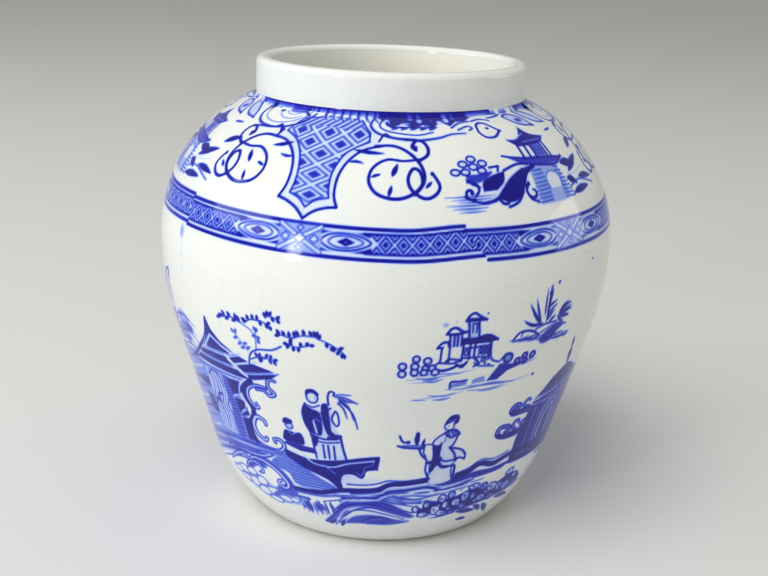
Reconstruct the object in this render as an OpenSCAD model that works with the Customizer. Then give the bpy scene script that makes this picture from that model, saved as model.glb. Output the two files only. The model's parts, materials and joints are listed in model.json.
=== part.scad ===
// Ginger jar without its lid: an earthenware casting, the glaze coats over it,
// and the blue transfer prints under the glaze, each laid on as a sheet of its own.
// Millimetres, +Z up. The origin is the centre of the foot, on the surface it stands on.

/* [Overall] */
// Height from the foot to the top of the lip
jar_h = 150; // [110:1:220]
// Largest diameter, at the bottom of the shoulder
body_d = 149; // [120:1:190]
// Height of the rounded shoulder, from the widest point up to the neck
shoulder_h = 45; // [34:1:56]

/* [Neck] */
// Outer diameter of the straight neck
neck_d = 87; // [64:1:104]
// Height of the neck above the shoulder
neck_h = 12; // [7:0.5:25]
// Thickness of the neck wall and the lip
lip_t = 5; // [4.2:0.1:8]
// Rounding of the lip's outer and inner edge
lip_round = 2; // [1:0.1:2.1]
// Radius of the cove between the neck and the shoulder, outside and inside
cove_round = 1.6; // [0.8:0.1:3]

/* [Body] */
// Radius of the belly curve, as a share of the widest point's height
belly_share = 1.08; // [0.9:0.01:1.3]
// Radius of the curve that turns the wall in to the foot, as the same share
turn_share = 0.65; // [0.5:0.01:0.78]
// Slope of that curve where it meets the foot, from the vertical
foot_slope = 43; // [34:1:52]
// Thickness of the side wall
wall_t = 5; // [3.5:0.1:8]
// Thickness of the floor, from the recess under it to the inside
floor_t = 6; // [4:0.1:10]
// Rounding between the floor and the wall, inside
floor_round = 9; // [5:0.5:14]

/* [Foot] */
// Outer diameter of the foot ring
foot_d = 90; // [74:1:108]
// Width of the foot ring
foot_w = 4; // [3:0.1:8]
// Depth of the recess inside the foot ring
recess_h = 2.4; // [1.9:0.1:5]
// Rounding between the recess and the foot ring
recess_round = 1; // [0.5:0.1:1.5]
// Height of the bare clay that the glaze leaves on the foot ring
bare_h = 1.2; // [0.6:0.1:1.6]

/* [Glaze and prints] */
// Thickness of the glaze, and of a print with its glaze
glaze_t = 0.2; // [0.15:0.05:0.5]
// Height of the plain glaze between the foot and the scene
plain_h = 6; // [4:0.5:20]
// Height of the border's bottom edge above the widest point
border_rise = 9.5; // [4:0.5:14]
// Height of the border, from its bottom to its top edge
border_h = 10; // [6:0.5:14]
// Angle that a whole border strip spans; the second strip is trimmed to what is left over
border_span = 73.8; // [72.5:0.1:84]
// Direction of the seam where the first shoulder sheet starts
shoulder_seam = 220; // [0:1:360]
// Direction of the seam where the first border strip starts
border_seam = 216; // [0:1:360]
// Direction of the seam where the first half of the scene starts
scene_seam = 208; // [0:1:360]
// Width of the gap between neighbouring sheets, at the widest point
seam_gap = 0.05; // [0.03:0.01:0.2]

/* [Hidden] */
$fn = 128;
margin = 1;
// Curves that touch are sunk in each other by this much, so that their union leaves no sliver
nest = 0.002;
body_r = body_d / 2;
neck_r = neck_d / 2;
foot_r = foot_d / 2;
mouth_r = neck_r - lip_t;
recess_r = foot_r - foot_w;
neck_z = jar_h - neck_h;
widest_z = neck_z - shoulder_h;
lip_z = jar_h - lip_round;
floor_z = recess_h + floor_t;
plain_z = bare_h + plain_h;
border_z0 = widest_z + border_rise;
border_z1 = border_z0 + border_h;

// The shoulder is one arc, upright at the widest point, that meets the neck at neck_z.
shoulder_in = body_r - neck_r;
shoulder_r = (shoulder_in * shoulder_in + shoulder_h * shoulder_h) / (2 * shoulder_in);
shoulder_c = [body_r - shoulder_r, widest_z];

// The belly arc and the arc that turns in to the foot have one straight line touching both.
belly_r = belly_share * widest_z;
turn_r = turn_share * widest_z;
belly_c = [body_r - belly_r - nest, widest_z];
turn_c = [foot_r - turn_r * cos(foot_slope), turn_r * sin(foot_slope)];
apart = belly_c - turn_c;
taper = acos((turn_r - belly_r) / norm(apart)) - atan2(apart[1], apart[0]);
side = [cos(taper), -sin(taper)];

// A cove of radius cove_round touches an upright line at radius r and the arc of radius big.
function cove_c(big, r) = [r + cove_round,
    widest_z + sqrt(pow(big + cove_round, 2) - pow(r + cove_round - shoulder_c[0], 2))];
function toward(a, b) = (b - a) / norm(b - a);
neck_cove_c = cove_c(shoulder_r, neck_r);
mouth_cove_c = cove_c(shoulder_r - wall_t, mouth_r);

// The rounding inside touches the floor and the wall's turning arc.
inner_turn_r = turn_r - wall_t;
corner_z = floor_z + floor_round;
corner_c = [turn_c[0] + sqrt(pow(inner_turn_r - floor_round, 2) - pow(corner_z - turn_c[1], 2)),
    corner_z];

// Outlines are half sections, drawn right of the axis: X is the radius and Y the height.

module level(z0, z1) {
    translate([0, z0]) square([2 * body_r, z1 - z0]);
}

module disc_slab(centre, r, z0, z1) {
    intersection() {
        translate(centre) circle(r = r);
        level(z0, z1);
    }
}

// The wall's outline up to the neck, with its surface moved in by d.
module wall_outline(d) {
    belly_end = belly_c + (belly_r - d) * side;
    turn_end = turn_c + (turn_r - d) * side;
    disc_slab(shoulder_c, shoulder_r - d, widest_z - margin, neck_z);
    translate([0, widest_z - margin]) square([shoulder_c[0], min(shoulder_r - d, shoulder_h) + margin]);
    disc_slab(belly_c, belly_r - d, turn_end[1], widest_z);
    polygon([[0, 0], turn_end - nest * side, belly_end - nest * side, [0, widest_z]]);
    disc_slab(turn_c, turn_r - d, 0, belly_end[1]);
}

// Fills the corner between an upright line at radius r and the arc of radius big.
module cove(centre, big, r, small) {
    touch = shoulder_c + big * toward(shoulder_c, centre);
    difference() {
        translate([r - margin, touch[1] - margin])
            square([touch[0] - r + margin, centre[1] - touch[1] + margin]);
        translate(centre) circle(r = small + nest);
    }
}

// The jar's outside, with its surface moved in by d.
module outside_outline(d) {
    wall_outline(d);
    cove(neck_cove_c, shoulder_r - d, neck_r - d, cove_round + d);
    translate([0, widest_z + margin]) square([neck_r - d, lip_z - widest_z - margin]);
    translate([0, widest_z + margin]) square([neck_r - lip_round, jar_h - d - widest_z - margin]);
    translate([neck_r - lip_round, lip_z]) circle(r = lip_round - d + nest);
}

// The jar's hollow, with its surface moved out by d, into the clay.
module hollow_outline(d) {
    corner_end = turn_c + (inner_turn_r + d) * toward(turn_c, corner_c);
    intersection() {
        wall_outline(wall_t - d);
        level(corner_end[1], jar_h);
    }
    polygon([[0, floor_z - d], [corner_c[0], floor_z - d], corner_c, corner_end, [0, widest_z]]);
    translate(corner_c) circle(r = floor_round + d + nest);
    cove(mouth_cove_c, shoulder_r - wall_t + d, mouth_r + d, cove_round - d);
    translate([0, widest_z + margin]) square([mouth_r + d, jar_h - widest_z]);
    difference() {
        translate([mouth_r, lip_z]) square([lip_round, lip_round + margin]);
        translate([mouth_r + lip_round, lip_z]) circle(r = lip_round - d + nest);
    }
}

// The recess under the floor, with its surface moved out by d, into the clay.
module recess_outline(d) {
    translate([0, -margin]) square([recess_r + d, recess_h - recess_round + margin]);
    translate([0, -margin]) square([recess_r - recess_round, recess_h + d + margin]);
    translate([recess_r - recess_round, recess_h - recess_round]) circle(r = recess_round + d + nest);
}

// The section of the whole jar, with every surface moved in to the clay by d.
module section(d) {
    difference() {
        outside_outline(d);
        hollow_outline(d);
        recess_outline(d);
    }
}

// The glaze over the wall's outside, between two heights.
module outside_coat(z0, z1) {
    intersection() {
        difference() {
            outside_outline(0);
            outside_outline(glaze_t);
        }
        level(z0, z1);
    }
}

// One sheet round the axis, from its seam over a span of degrees, less the gap.
module sheet(z0, z1, seam, span) {
    gap = seam_gap / body_r * 180 / PI;
    rotate_extrude(start = seam, angle = span - gap) outside_coat(z0, z1);
}

module jar_body() {
    color("#d9cdb6") rotate_extrude() section(glaze_t);
}

module neck_glaze() {
    color("#e4e6e0") rotate_extrude() difference() {
        section(0);
        section(glaze_t);
        level(-margin, neck_cove_c[1]);
        square([mouth_r + lip_t / 2, lip_z]);
    }
}

module inside_glaze() {
    color("#ded7c4") rotate_extrude() intersection() {
        difference() {
            hollow_outline(glaze_t);
            hollow_outline(0);
        }
        level(0, lip_z);
    }
}

module foot_glaze() {
    color("#dfe3de") rotate_extrude() outside_coat(bare_h, plain_z);
}

module base_glaze() {
    color("#dcdcd2") rotate_extrude() intersection() {
        difference() {
            recess_outline(glaze_t);
            recess_outline(0);
        }
        level(bare_h, floor_z);
    }
}

module shoulder_sheet(i) {
    color("#5a62b8") sheet(border_z1, neck_cove_c[1], shoulder_seam + (i - 1) * 120, 120);
}

module shoulder_print_1() { shoulder_sheet(1); }
module shoulder_print_2() { shoulder_sheet(2); }
module shoulder_print_3() { shoulder_sheet(3); }

module border_strip(seam, span) {
    color("#2c2f8f") sheet(border_z0, border_z1, border_seam + seam, span);
}

module border_print_1() { border_strip(0, border_span); }
module border_print_2() { border_strip(border_span, 360 - 4 * border_span); }
module border_print_3() { border_strip(360 - 3 * border_span, border_span); }
module border_print_4() { border_strip(360 - 2 * border_span, border_span); }
module border_print_5() { border_strip(360 - border_span, border_span); }

module scene_sheet(i) {
    color("#4450ac") sheet(plain_z, border_z0, scene_seam + (i - 1) * 180, 180);
}

module scene_print_1() { scene_sheet(1); }
module scene_print_2() { scene_sheet(2); }

jar_body();
neck_glaze();
inside_glaze();
foot_glaze();
base_glaze();
shoulder_print_1();
shoulder_print_2();
shoulder_print_3();
border_print_1();
border_print_2();
border_print_3();
border_print_4();
border_print_5();
scene_print_1();
scene_print_2();
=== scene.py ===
"""Looks for the ginger jar: glaze, crazing and the blue transfer prints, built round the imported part."""

import json
import math

import bmesh
import bpy
import numpy as np
from mathutils import Matrix, Vector


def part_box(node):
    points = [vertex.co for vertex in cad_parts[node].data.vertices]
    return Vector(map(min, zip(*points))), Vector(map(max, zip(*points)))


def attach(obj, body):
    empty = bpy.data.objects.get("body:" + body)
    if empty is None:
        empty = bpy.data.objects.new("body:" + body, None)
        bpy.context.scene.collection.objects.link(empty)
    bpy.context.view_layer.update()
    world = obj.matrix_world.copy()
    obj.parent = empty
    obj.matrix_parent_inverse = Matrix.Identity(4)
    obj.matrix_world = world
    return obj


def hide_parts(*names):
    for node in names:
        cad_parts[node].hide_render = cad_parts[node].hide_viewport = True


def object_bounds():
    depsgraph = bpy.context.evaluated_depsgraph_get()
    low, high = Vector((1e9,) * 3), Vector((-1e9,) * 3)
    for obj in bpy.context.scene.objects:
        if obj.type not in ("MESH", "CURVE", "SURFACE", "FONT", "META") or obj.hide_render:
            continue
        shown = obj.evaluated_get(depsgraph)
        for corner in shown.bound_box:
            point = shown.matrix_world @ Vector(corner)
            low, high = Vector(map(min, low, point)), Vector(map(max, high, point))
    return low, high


MM = 0.001
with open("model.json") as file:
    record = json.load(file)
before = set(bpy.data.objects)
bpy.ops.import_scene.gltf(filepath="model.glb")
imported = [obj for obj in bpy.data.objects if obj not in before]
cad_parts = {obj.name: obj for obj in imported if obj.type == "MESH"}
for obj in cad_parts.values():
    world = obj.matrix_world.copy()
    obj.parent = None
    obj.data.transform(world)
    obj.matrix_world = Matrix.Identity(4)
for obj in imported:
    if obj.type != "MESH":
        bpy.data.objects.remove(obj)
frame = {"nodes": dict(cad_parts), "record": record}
cad_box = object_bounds()


# ---------------------------------------------------------------- the jar's outline, in mm

def mount(name):
    return next(m for m in frame["record"]["mounts"] if m["name"] == name)


def low(node):
    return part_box(node)[0][2] / MM


def high(node):
    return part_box(node)[1][2] / MM


JAR_H = high("neck_glaze")
NECK_R = mount("collar")["dims"]["r_mm"]
MOUTH_R = mount("mouth")["dims"]["r_mm"]
NECK_H = 12
SHOULDER_H = 45
WIDEST_Z = JAR_H - NECK_H - SHOULDER_H
BODY_R = cad_box[1].x / MM
BARE_Z = low("foot_glaze")
PLAIN_Z = high("foot_glaze")
BORDER_Z0 = low("border_print_1")
BORDER_Z1 = high("border_print_1")
LIP_ROUND = 2
FOOT_R = 45
FOOT_SLOPE = math.radians(43)
WALL_T = 5
FLOOR_Z = 8.4
FLOOR_ROUND = 9
COVE = 1.6
LIP_Z = JAR_H - LIP_ROUND
BELLY_SHARE = 1.08
TURN_SHARE = 0.65
GLAZE_T = 0.2
STEP = 0.3

# the shoulder, belly and turning arcs, and the slope of the straight that joins the last two
SHOULDER_R = ((BODY_R - NECK_R) ** 2 + SHOULDER_H**2) / (2 * (BODY_R - NECK_R))
SHOULDER_C = np.array([BODY_R - SHOULDER_R, WIDEST_Z])
BELLY_R = BELLY_SHARE * WIDEST_Z
BELLY_C = np.array([BODY_R - BELLY_R, WIDEST_Z])
TURN_R = TURN_SHARE * WIDEST_Z
TURN_C = np.array([FOOT_R - TURN_R * math.cos(FOOT_SLOPE), TURN_R * math.sin(FOOT_SLOPE)])
APART = BELLY_C - TURN_C
TAPER = math.acos((TURN_R - BELLY_R) / np.hypot(*APART)) - math.atan2(APART[1], APART[0])


def arc(centre, radius, start, end, step=STEP):
    """Points along an arc; angles in radians from outward level, upward positive."""
    n = max(2, int(abs(end - start) * radius / step) + 1)
    a = np.linspace(start, end, n)
    return centre + radius * np.stack([np.cos(a), np.sin(a)], 1)


def cove_centre(big, r):
    return np.array([r + COVE, WIDEST_Z + math.sqrt((big + COVE) ** 2 - (r + COVE - SHOULDER_C[0]) ** 2)])


def wall_line(depth=0.0, step=STEP):
    """The outside from the foot up to where the cove turns upright, moved in by depth."""
    cove = cove_centre(SHOULDER_R, NECK_R)
    touch = math.atan2(*(cove - SHOULDER_C)[::-1])
    return np.concatenate([
        arc(TURN_C, TURN_R - depth, -math.asin(min(1, TURN_C[1] / (TURN_R - depth))), -TAPER, step),
        arc(BELLY_C, BELLY_R - depth, -TAPER, 0, step),
        arc(SHOULDER_C, SHOULDER_R - depth, 0, touch, step),
        arc(cove, COVE + depth, touch + math.pi, math.pi, step / 3),
    ])


OUTSIDE = wall_line()
COVE_Z = OUTSIDE[-1, 1]
RUN = np.concatenate([[0], np.cumsum(np.hypot(*np.diff(OUTSIDE, axis=0).T))])


def run_at(z):
    """Distance along the outside from the foot to a height; it goes on past the sheets' top edge."""
    return np.interp(z, OUTSIDE[:, 1], RUN) + np.maximum(0, np.subtract(z, COVE_Z))


def radius_at(run):
    return np.interp(run, RUN, OUTSIDE[:, 0])


def stretch(line, z0, z1, step=STEP):
    """The part of an outline between two heights, in even steps."""
    run = np.concatenate([[0], np.cumsum(np.hypot(*np.diff(line, axis=0).T))])
    a, b = np.interp([z0, z1], line[:, 1], run)
    s = np.linspace(a, b, max(2, int(abs(b - a) / step) + 1))
    return np.stack([np.interp(s, run, line[:, 0]), np.interp(s, run, line[:, 1])], 1)


# how finely the skins are divided: degrees round the jar, and mm up the printed ones
PRINT_TURN = 0.25
PRINT_STEP = 0.33
PLAIN_TURN = 1.2
# how far a skin's back lies behind its front, a hair short of the clay
BACK = GLAZE_T - 0.01


# ---------------------------------------------------------------- drawing the prints
# A point is (degrees round from the front, rightwards; height in mm). Tone 0 is bare glaze, 1 the darkest blue.

def curve(*points, closed=False, n=6):
    """A smooth line through points; a point given twice makes a corner."""
    p = np.array(points, float)
    p = np.concatenate([p[-1:], p, p[:2]]) if closed else np.concatenate([p[:1], p, p[-1:]])
    t = np.linspace(0, 1, n, endpoint=False)[:, None]
    out = [
        0.5 * (2 * b + (c - a) * t + (2 * a - 5 * b + 4 * c - d) * t**2 + (3 * b - a - 3 * c + d) * t**3)
        for a, b, c, d in zip(p, p[1:], p[2:], p[3:])
    ]
    return np.concatenate(out + [p[-2:-1]])


class Print:
    """The ink laid on the jar's outside, as a tone for every step round it and up it."""

    def __init__(self):
        self.degrees = PRINT_TURN
        self.across = round(360 / PRINT_TURN)
        self.run = np.arange(0, RUN[-1] + STEP, STEP)
        self.scale = radius_at(self.run) * math.pi / 180
        self.ink = np.zeros((len(self.run), self.across))
        self.turn = 0

    def near(self, points, pad):
        """The steps round and up that lie within pad mm of some points, and the points as (degrees, run)."""
        p = np.array(points, float)
        p = np.stack([p[:, 0] + self.turn, run_at(p[:, 1])], 1)
        i0, i1 = np.searchsorted(self.run, [p[:, 1].min() - pad, p[:, 1].max() + pad])
        wide = pad / self.scale[max(0, min(i0, i1 - 1)):i1].min()
        j0 = math.floor((p[:, 0].min() - wide) / self.degrees)
        j1 = math.ceil((p[:, 0].max() + wide) / self.degrees) + 1
        return np.arange(i0, i1), np.arange(j0, j1), p

    def gap(self, rows, cols, a, b):
        """Distance in mm from each step to each segment a-b, and how far along the segment the nearest point is."""
        k = self.scale[rows][:, None, None]
        x = cols[None, :, None] * self.degrees * k
        y = self.run[rows][:, None, None]
        ax, bx = a[:, 0] * k, b[:, 0] * k
        dx, dy = bx - ax, b[:, 1] - a[:, 1]
        t = np.clip(((x - ax) * dx + (y - a[:, 1]) * dy) / (dx**2 + dy**2 + 1e-9), 0, 1)
        return np.hypot(x - ax - t * dx, y - a[:, 1] - t * dy), t

    def lay(self, rows, cols, cover, tone):
        at = np.ix_(rows, cols % self.across)
        self.ink[at] += (tone - self.ink[at]) * cover

    def line(self, points, w=0.5, tone=1.0, taper=(1, 1), closed=False, soft=0.3):
        """A pen stroke of width w mm; taper is the share of the width left at its two ends."""
        if closed:
            points = np.concatenate([points, points[:1]])
        rows, cols, p = self.near(points, w / 2 + soft)
        if not len(rows):
            return
        d, t = self.gap(rows, cols, p[:-1], p[1:])
        u = (np.arange(len(p) - 1) + t) / (len(p) - 1)
        wide = np.minimum(taper[0] + (1 - taper[0]) * u / 0.4, taper[1] + (1 - taper[1]) * (1 - u) / 0.4)
        d = (d - w / 2 * np.minimum(1, wide)).min(2)
        self.lay(rows, cols, np.clip(0.5 - d / soft, 0, 1), tone)

    def cover(self, points, soft=0.3):
        rows, cols, p = self.near(points, soft)
        a, b = p, np.roll(p, -1, 0)
        d = self.gap(rows, cols, a, b)[0].min(2)
        x = cols[None, :, None] * self.degrees
        y = self.run[rows][:, None, None]
        cross = (a[:, 1] > y) != (b[:, 1] > y)
        at = a[:, 0] + (b[:, 0] - a[:, 0]) * (y - a[:, 1]) / (b[:, 1] - a[:, 1] + 1e-12)
        inside = (cross & (x < at)).sum(2) % 2
        return rows, cols, np.clip(0.5 + np.where(inside, d, -d) / soft, 0, 1)

    def fill(self, points, tone=1.0, soft=0.3):
        self.lay(*self.cover(points, soft), tone)

    def inlay(self, points, pattern):
        """Fills an outline with pattern(degrees, height) tones."""
        rows, cols, cover = self.cover(points)
        z = np.interp(self.run[rows], RUN, OUTSIDE[:, 1])[:, None]
        self.lay(rows, cols, cover, pattern(cols[None, :] * self.degrees - self.turn, z))

    def around(self, centre, xy):
        """Offsets in mm from a centre, as points."""
        s = run_at(centre[1])
        k = radius_at(s) * math.pi / 180
        xy = np.atleast_2d(xy)
        return np.stack([centre[0] + xy[:, 0] / k, np.interp(s + xy[:, 1], RUN, OUTSIDE[:, 1])], 1)

    def oval(self, centre, rx, ry=None, n=18):
        a = np.linspace(0, 2 * math.pi, n, endpoint=False)
        return self.around(centre, np.stack([rx * np.cos(a), (ry or rx) * np.sin(a)], 1))

    def ring(self, centre, rx, ry=None, w=0.35, tone=1.0, inside=None):
        if inside is not None:
            self.fill(self.oval(centre, rx, ry), inside)
        self.line(self.oval(centre, rx, ry), w, tone, closed=True)

    def cloud(self, centre, rx, ry, tone, soft=1.4):
        """A pale patch with soft edges."""
        self.fill(self.oval(centre, rx, ry), tone, soft)

    def lump(self, centre, rx, ry, inside, rng, w=0.42, tone=0.95):
        """A rough round with an outline, for a rock or a bush."""
        a = np.linspace(0, 2 * math.pi, 7, endpoint=False) + rng.uniform(0, 0.8)
        r = rng.uniform(0.78, 1.18, 7)
        edge = curve(*self.around(centre, np.stack([rx * r * np.cos(a), ry * r * np.sin(a)], 1)), closed=True)
        self.fill(edge, inside)
        self.line(edge, w, tone)

    def pen(self, w, tone, *points, taper=(1, 1)):
        """A pen stroke along the smooth line through points."""
        self.line(curve(*points), w, tone, taper)

    def pens(self, *strokes, taper=(1, 1)):
        """Pen strokes, each given as its width, its tone and its points."""
        for w, tone, *points in strokes:
            self.pen(w, tone, *points, taper=taper)

    def shape(self, tone, *points, soft=0.3):
        """A filled outline that runs smoothly through points."""
        self.fill(curve(*points, closed=True), tone, soft)

    def shapes(self, *outlines, soft=0.3):
        """Filled outlines, each given as its tone and its points."""
        for tone, *points in outlines:
            self.shape(tone, *points, soft=soft)

    def dot(self, centre, rx, ry=None, tone=1.0):
        self.fill(self.oval(centre, rx, ry, 10), tone)

    def curl(self, centre, r0, r1, a0, a1, w):
        """A scroll: a stroke that winds from radius r0 at angle a0 to radius r1 at angle a1, in degrees."""
        n = max(6, int(abs(a1 - a0) / 18))
        a = np.radians(np.linspace(a0, a1, n))
        r = np.linspace(r0, r1, n)
        self.line(self.around(centre, np.stack([r * np.cos(a), r * np.sin(a)], 1)), w, taper=(1, 0.6))

    def leaf(self, a, b, w, tone=1.0, bend=0.0):
        """A pointed leaf from a to b, w mm wide, with its middle moved sideways by bend mm."""
        k = radius_at(run_at(a[1])) * math.pi / 180
        d = np.array([(b[0] - a[0]) * k, run_at(b[1]) - run_at(a[1])])
        side = np.array([-d[1], d[0]]) / (np.hypot(*d) + 1e-9)
        rows = [(f * d + side * (bend * 4 * f * (1 - f) + g * w / 2)) for f, g in (
            (0, 0), (0.25, 0.8), (0.5, 1), (0.78, 0.6), (1, 0), (0.78, -0.6), (0.5, -1), (0.25, -0.8))]
        self.fill(self.around(a, np.array(rows)), tone)

    def hatch(self, points, slope=0.0, gap=1.0, w=0.4, tone=0.7, ground=None):
        """Parallel strokes inside an outline; slope is mm of rise per degree."""
        def tones(theta, z):
            d = np.abs((z - slope * theta + 500) % gap - gap / 2)
            lines = np.clip(0.5 + (w / 2 - d) / 0.25, 0, 1)
            return (ground or 0) + (tone - (ground or 0)) * lines
        self.inlay(points, tones)

    def blurred(self, mm):
        """The ink spread out evenly over about mm in every direction."""
        n = max(1, round(mm / STEP))
        weights = np.exp(-0.5 * (np.arange(-2 * n, 2 * n + 1) / n) ** 2)
        out = np.zeros_like(self.ink)
        padded = np.pad(self.ink, ((2 * n, 2 * n), (0, 0)), "edge")
        for i, w in enumerate(weights):
            out += w * padded[i:i + len(out)]
        across = sum(w * np.roll(out, i - 2 * n, 1) for i, w in enumerate(weights))
        return across / weights.sum() ** 2

    def settle(self):
        """The print as it fires: edges slightly soft, and a faint blue cloud in the glaze round the ink."""
        cloud = self.blurred(2.4)
        self.ink = np.minimum(1, 1.12 * (0.78 * self.ink + 0.22 * self.blurred(0.3)))
        self.ink += np.maximum(0, 0.13 * cloud - 0.004) * (1 - self.ink)

    def at(self, theta, z):
        """The tone at places given as degrees and heights, evened out between steps."""
        i = np.clip(run_at(z) / STEP, 0, len(self.run) - 1.001)
        j = (theta % 360) / self.degrees
        i0, j0 = i.astype(int), j.astype(int)
        fi, fj = i - i0, j - j0
        n = self.across
        left = self.ink[i0, j0 % n] * (1 - fi) + self.ink[i0 + 1, j0 % n] * fi
        right = self.ink[i0, (j0 + 1) % n] * (1 - fi) + self.ink[i0 + 1, (j0 + 1) % n] * fi
        return left * (1 - fj) + right * fj


def box_points(t0, z0, t1, z1):
    return [(t0, z0), (t1, z0), (t1, z1), (t0, z1)]


def lattice(theta, z, centre, span, height, lines, dark, light):
    """Concentric diamonds, light on dark. Lines is the height of a diamond's middle, then each light line's place and
    half width, on a scale that is 0 at the diamond's middle and 1 at its edge."""
    u = np.abs(2 * (((theta - centre) / span + 0.5) % 1) - 1)
    v = np.abs(2 * (((z - lines[0]) / height + 0.5) % 1) - 1)
    d = u + v
    d = np.where(d > 1, 2 - d, d)
    on = np.max([np.clip(1.25 - np.abs(d - at) / wide, 0, 1) for at, wide in lines[1:]], 0)
    return dark + (light - dark) * on


# ---------------------------------------------------------------- the border strips

# each strip's start, end and middle in degrees, its lift and the rise at its end in mm, and the slant of its two cuts
STRIPS = (
    (-54, 20, -19.3, 0.0, 1.2, 0, 0.65),
    (20, 84.6, 47.6, 0.0, 0.5, 0.65, 0),
    (84.6, 158.4, 121.5, 0.2, 0.3, 0, 0),
    (158.4, 232.2, 195.3, -0.3, 0.4, 0, 0),
    (232.2, 306, 269.1, 0.5, 0.2, 0, 0),
)
# heights of the two ruled edges, of the diaper between them, and of the middle, in mm
RULE_LOW, RULE_HIGH = 103.15, 111.15
PANEL_LOW, PANEL_HIGH = 104.75, 109.95
BORDER_MIDDLE = 107.5


def border_strip(ink, start, end, middle, lift, rise, slant_in, slant_out):
    """One strip: diaper, an eye, the pale cross, an eye and diaper, between ruled edges."""
    def tilt(t):
        late = np.clip((t - (end - 16)) / 16, 0, 1)
        return lift - 0.87 * np.sin(np.radians(t)) + rise * late**2 * (3 - 2 * late)

    def row(z, n=40, a=start, b=end):
        t = np.linspace(a, b, n)
        along = (t - start) / (end - start)
        slant = slant_in * (1 - along) ** 6 + slant_out * along**6
        return np.stack([t - (z - BORDER_MIDDLE) * slant, z + tilt(t)], 1)

    def panel(a, b, z0, z1):
        n = max(2, int(abs(b - a) / 2))
        return np.concatenate([row(z0, n, a, b), row(z1, n, a, b)[::-1]])

    ink.fill(panel(start, end, RULE_LOW - 0.25, RULE_HIGH + 0.25), 0.04)
    ink.line(row(RULE_HIGH), 0.85, 1)
    ink.line(row(RULE_LOW), 0.85, 1)
    for side in (-1, 1):
        a, b = middle + side * 14.6, (start, end)[side > 0]
        edge = panel(min(a, b), max(a, b), PANEL_LOW, PANEL_HIGH)
        ink.inlay(edge, lambda t, z: lattice(t, z - tilt(t), middle, 3.85, 5.3,
                                             (107.35, (0.97, 0.18), (0.47, 0.16)), 0.88, 0.05))
        ink.line(row(PANEL_HIGH, 30, a, b), 0.45, 1)
        ink.line(row(PANEL_LOW, 30, a, b), 0.45, 1)
        ink.fill(panel(*sorted((middle + side * 4.6, middle + side * 16)), PANEL_LOW, PANEL_HIGH), 0.92)
        c = middle + side * 10.6
        z = 107.4 + tilt(c)
        eye = [(c - side * 6.6, z), (c - side * 4.2, z + 2.1), (c, z + 2.6), (c + side * 4, z + 1.7),
               (c + side * 6.4, z), (c + side * 4, z - 1.7), (c, z - 2.6), (c - side * 4.2, z - 2.1)]
        rings = [curve(*[(c + (t - c) * size, z + (h - z) * size) for t, h in eye], closed=True)
                 for size in (1.08, 0.86, 0.6)]
        ink.fill(rings[0], 0.05)
        ink.line(rings[1], 0.4, 0.9)
        ink.line(rings[2], 0.35, 0.75)
        ink.fill([(c - 1.9, z), (c, z + 1.05), (c + 1.9, z), (c, z - 1.05)], 1)
        ink.dot((c, z), 0.35, 0.3, 0.1)
    ink.fill(panel(middle - 5.1, middle + 5.1, 103.4, 111.0), 0.2, 0.8)
    z = 107.3 + tilt(middle)
    for w, tone in ((1.5, 0.6), (0.9, 0.05)):
        for up in (-1, 1):
            ink.line([(middle - 4.8, z - up * 3.3), (middle + 4.8, z + up * 3.3)], w, tone)
    for t, h, r in ((0, 0, 1.5), (-3.4, 0, 1.1), (3.4, 0, 1.1), (0, 2.6, 0.8), (0, -2.6, 0.8)):
        t, h = middle + t, z + h
        ink.fill([(t - r, h), (t, h + r), (t + r, h), (t, h - r)], 0.06)
        ink.line([(t - r, h), (t, h + r), (t + r, h), (t, h - r)], 0.35, 0.6, closed=True)


# ---------------------------------------------------------------- the shoulder sheets

def shield(ink):
    """The hanging shield of trellis between the scrolls."""
    left = curve((-26.6, 117.3), (-25.4, 120.5), (-25.5, 124.5), (-27.2, 128), (-31, 130.6), (-36, 131.4), n=5)
    right = curve((-11.7, 116.1), (-12.8, 119.5), (-12.5, 124), (-10.6, 127.6), (-7, 130.2), (-2, 131.2), n=5)
    tip_l = curve((-19.3, 112.6), (-21.4, 115), (-24, 116.5), (-26.6, 117.3), n=4)
    tip_r = curve((-11.7, 116.1), (-14.4, 115.7), (-17, 114.6), (-19.3, 112.6), n=4)
    outer = np.concatenate([tip_l, left, [(-34, 135.5), (-20, 136.5), (-5, 135)], right[::-1], tip_r])
    ink.fill(outer, 0.05)
    inner = np.concatenate([
        curve((-19.2, 115.5), (-21.3, 117.6), (-23.9, 118.7), n=4),
        curve((-23.9, 118.7), (-23.4, 121.5), (-23.7, 125), (-25.3, 128.6), (-28.5, 131.4), (-33.5, 133), n=5),
        [(-31, 136), (-22, 137), (-10, 136.8), (-6, 134)],
        curve((-5.8, 132), (-9.5, 130.6), (-12.4, 128.6), (-14.3, 124.5), (-14.4, 120.8), (-13.9, 118.3), n=5),
        curve((-13.9, 118.3), (-17, 117.4), (-19.2, 115.5), n=4)])
    ink.inlay(inner, lambda t, z: lattice(t, z, -18.9, 9.6, 5.0, (
        123.6, (0.97, 0.2), (0.53, 0.17)), 0.66, 0.05))
    ink.hatch([(-31, 134.2), (-22, 135), (-10, 134.4), (-8, 136.6), (-22, 137.2), (-31, 136.4)], 0.5, 1.3, 0.5, 0.6,
              0.15)
    ink.line(inner, 0.4, 0.9, closed=True)
    for part in (tip_l, left, tip_r, right):
        ink.line(part, 0.62, 0.97)
    ink.line([(-36, 131.3), (-35, 133), (-37.5, 134)], 0.7, 1)
    ink.leaf((-28.5, 130.6), (-35, 129.2), 1.3, 1, 0.3)
    ink.leaf((-10, 130.2), (-1, 129.6), 1.2, 1, -0.3)
    ink.leaf((-26.4, 127.4), (-31, 127.6), 0.8, 0.9, 0.5)
    ink.leaf((-10.8, 127.2), (-6.4, 127), 0.8, 0.9, 0.5)


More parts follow.
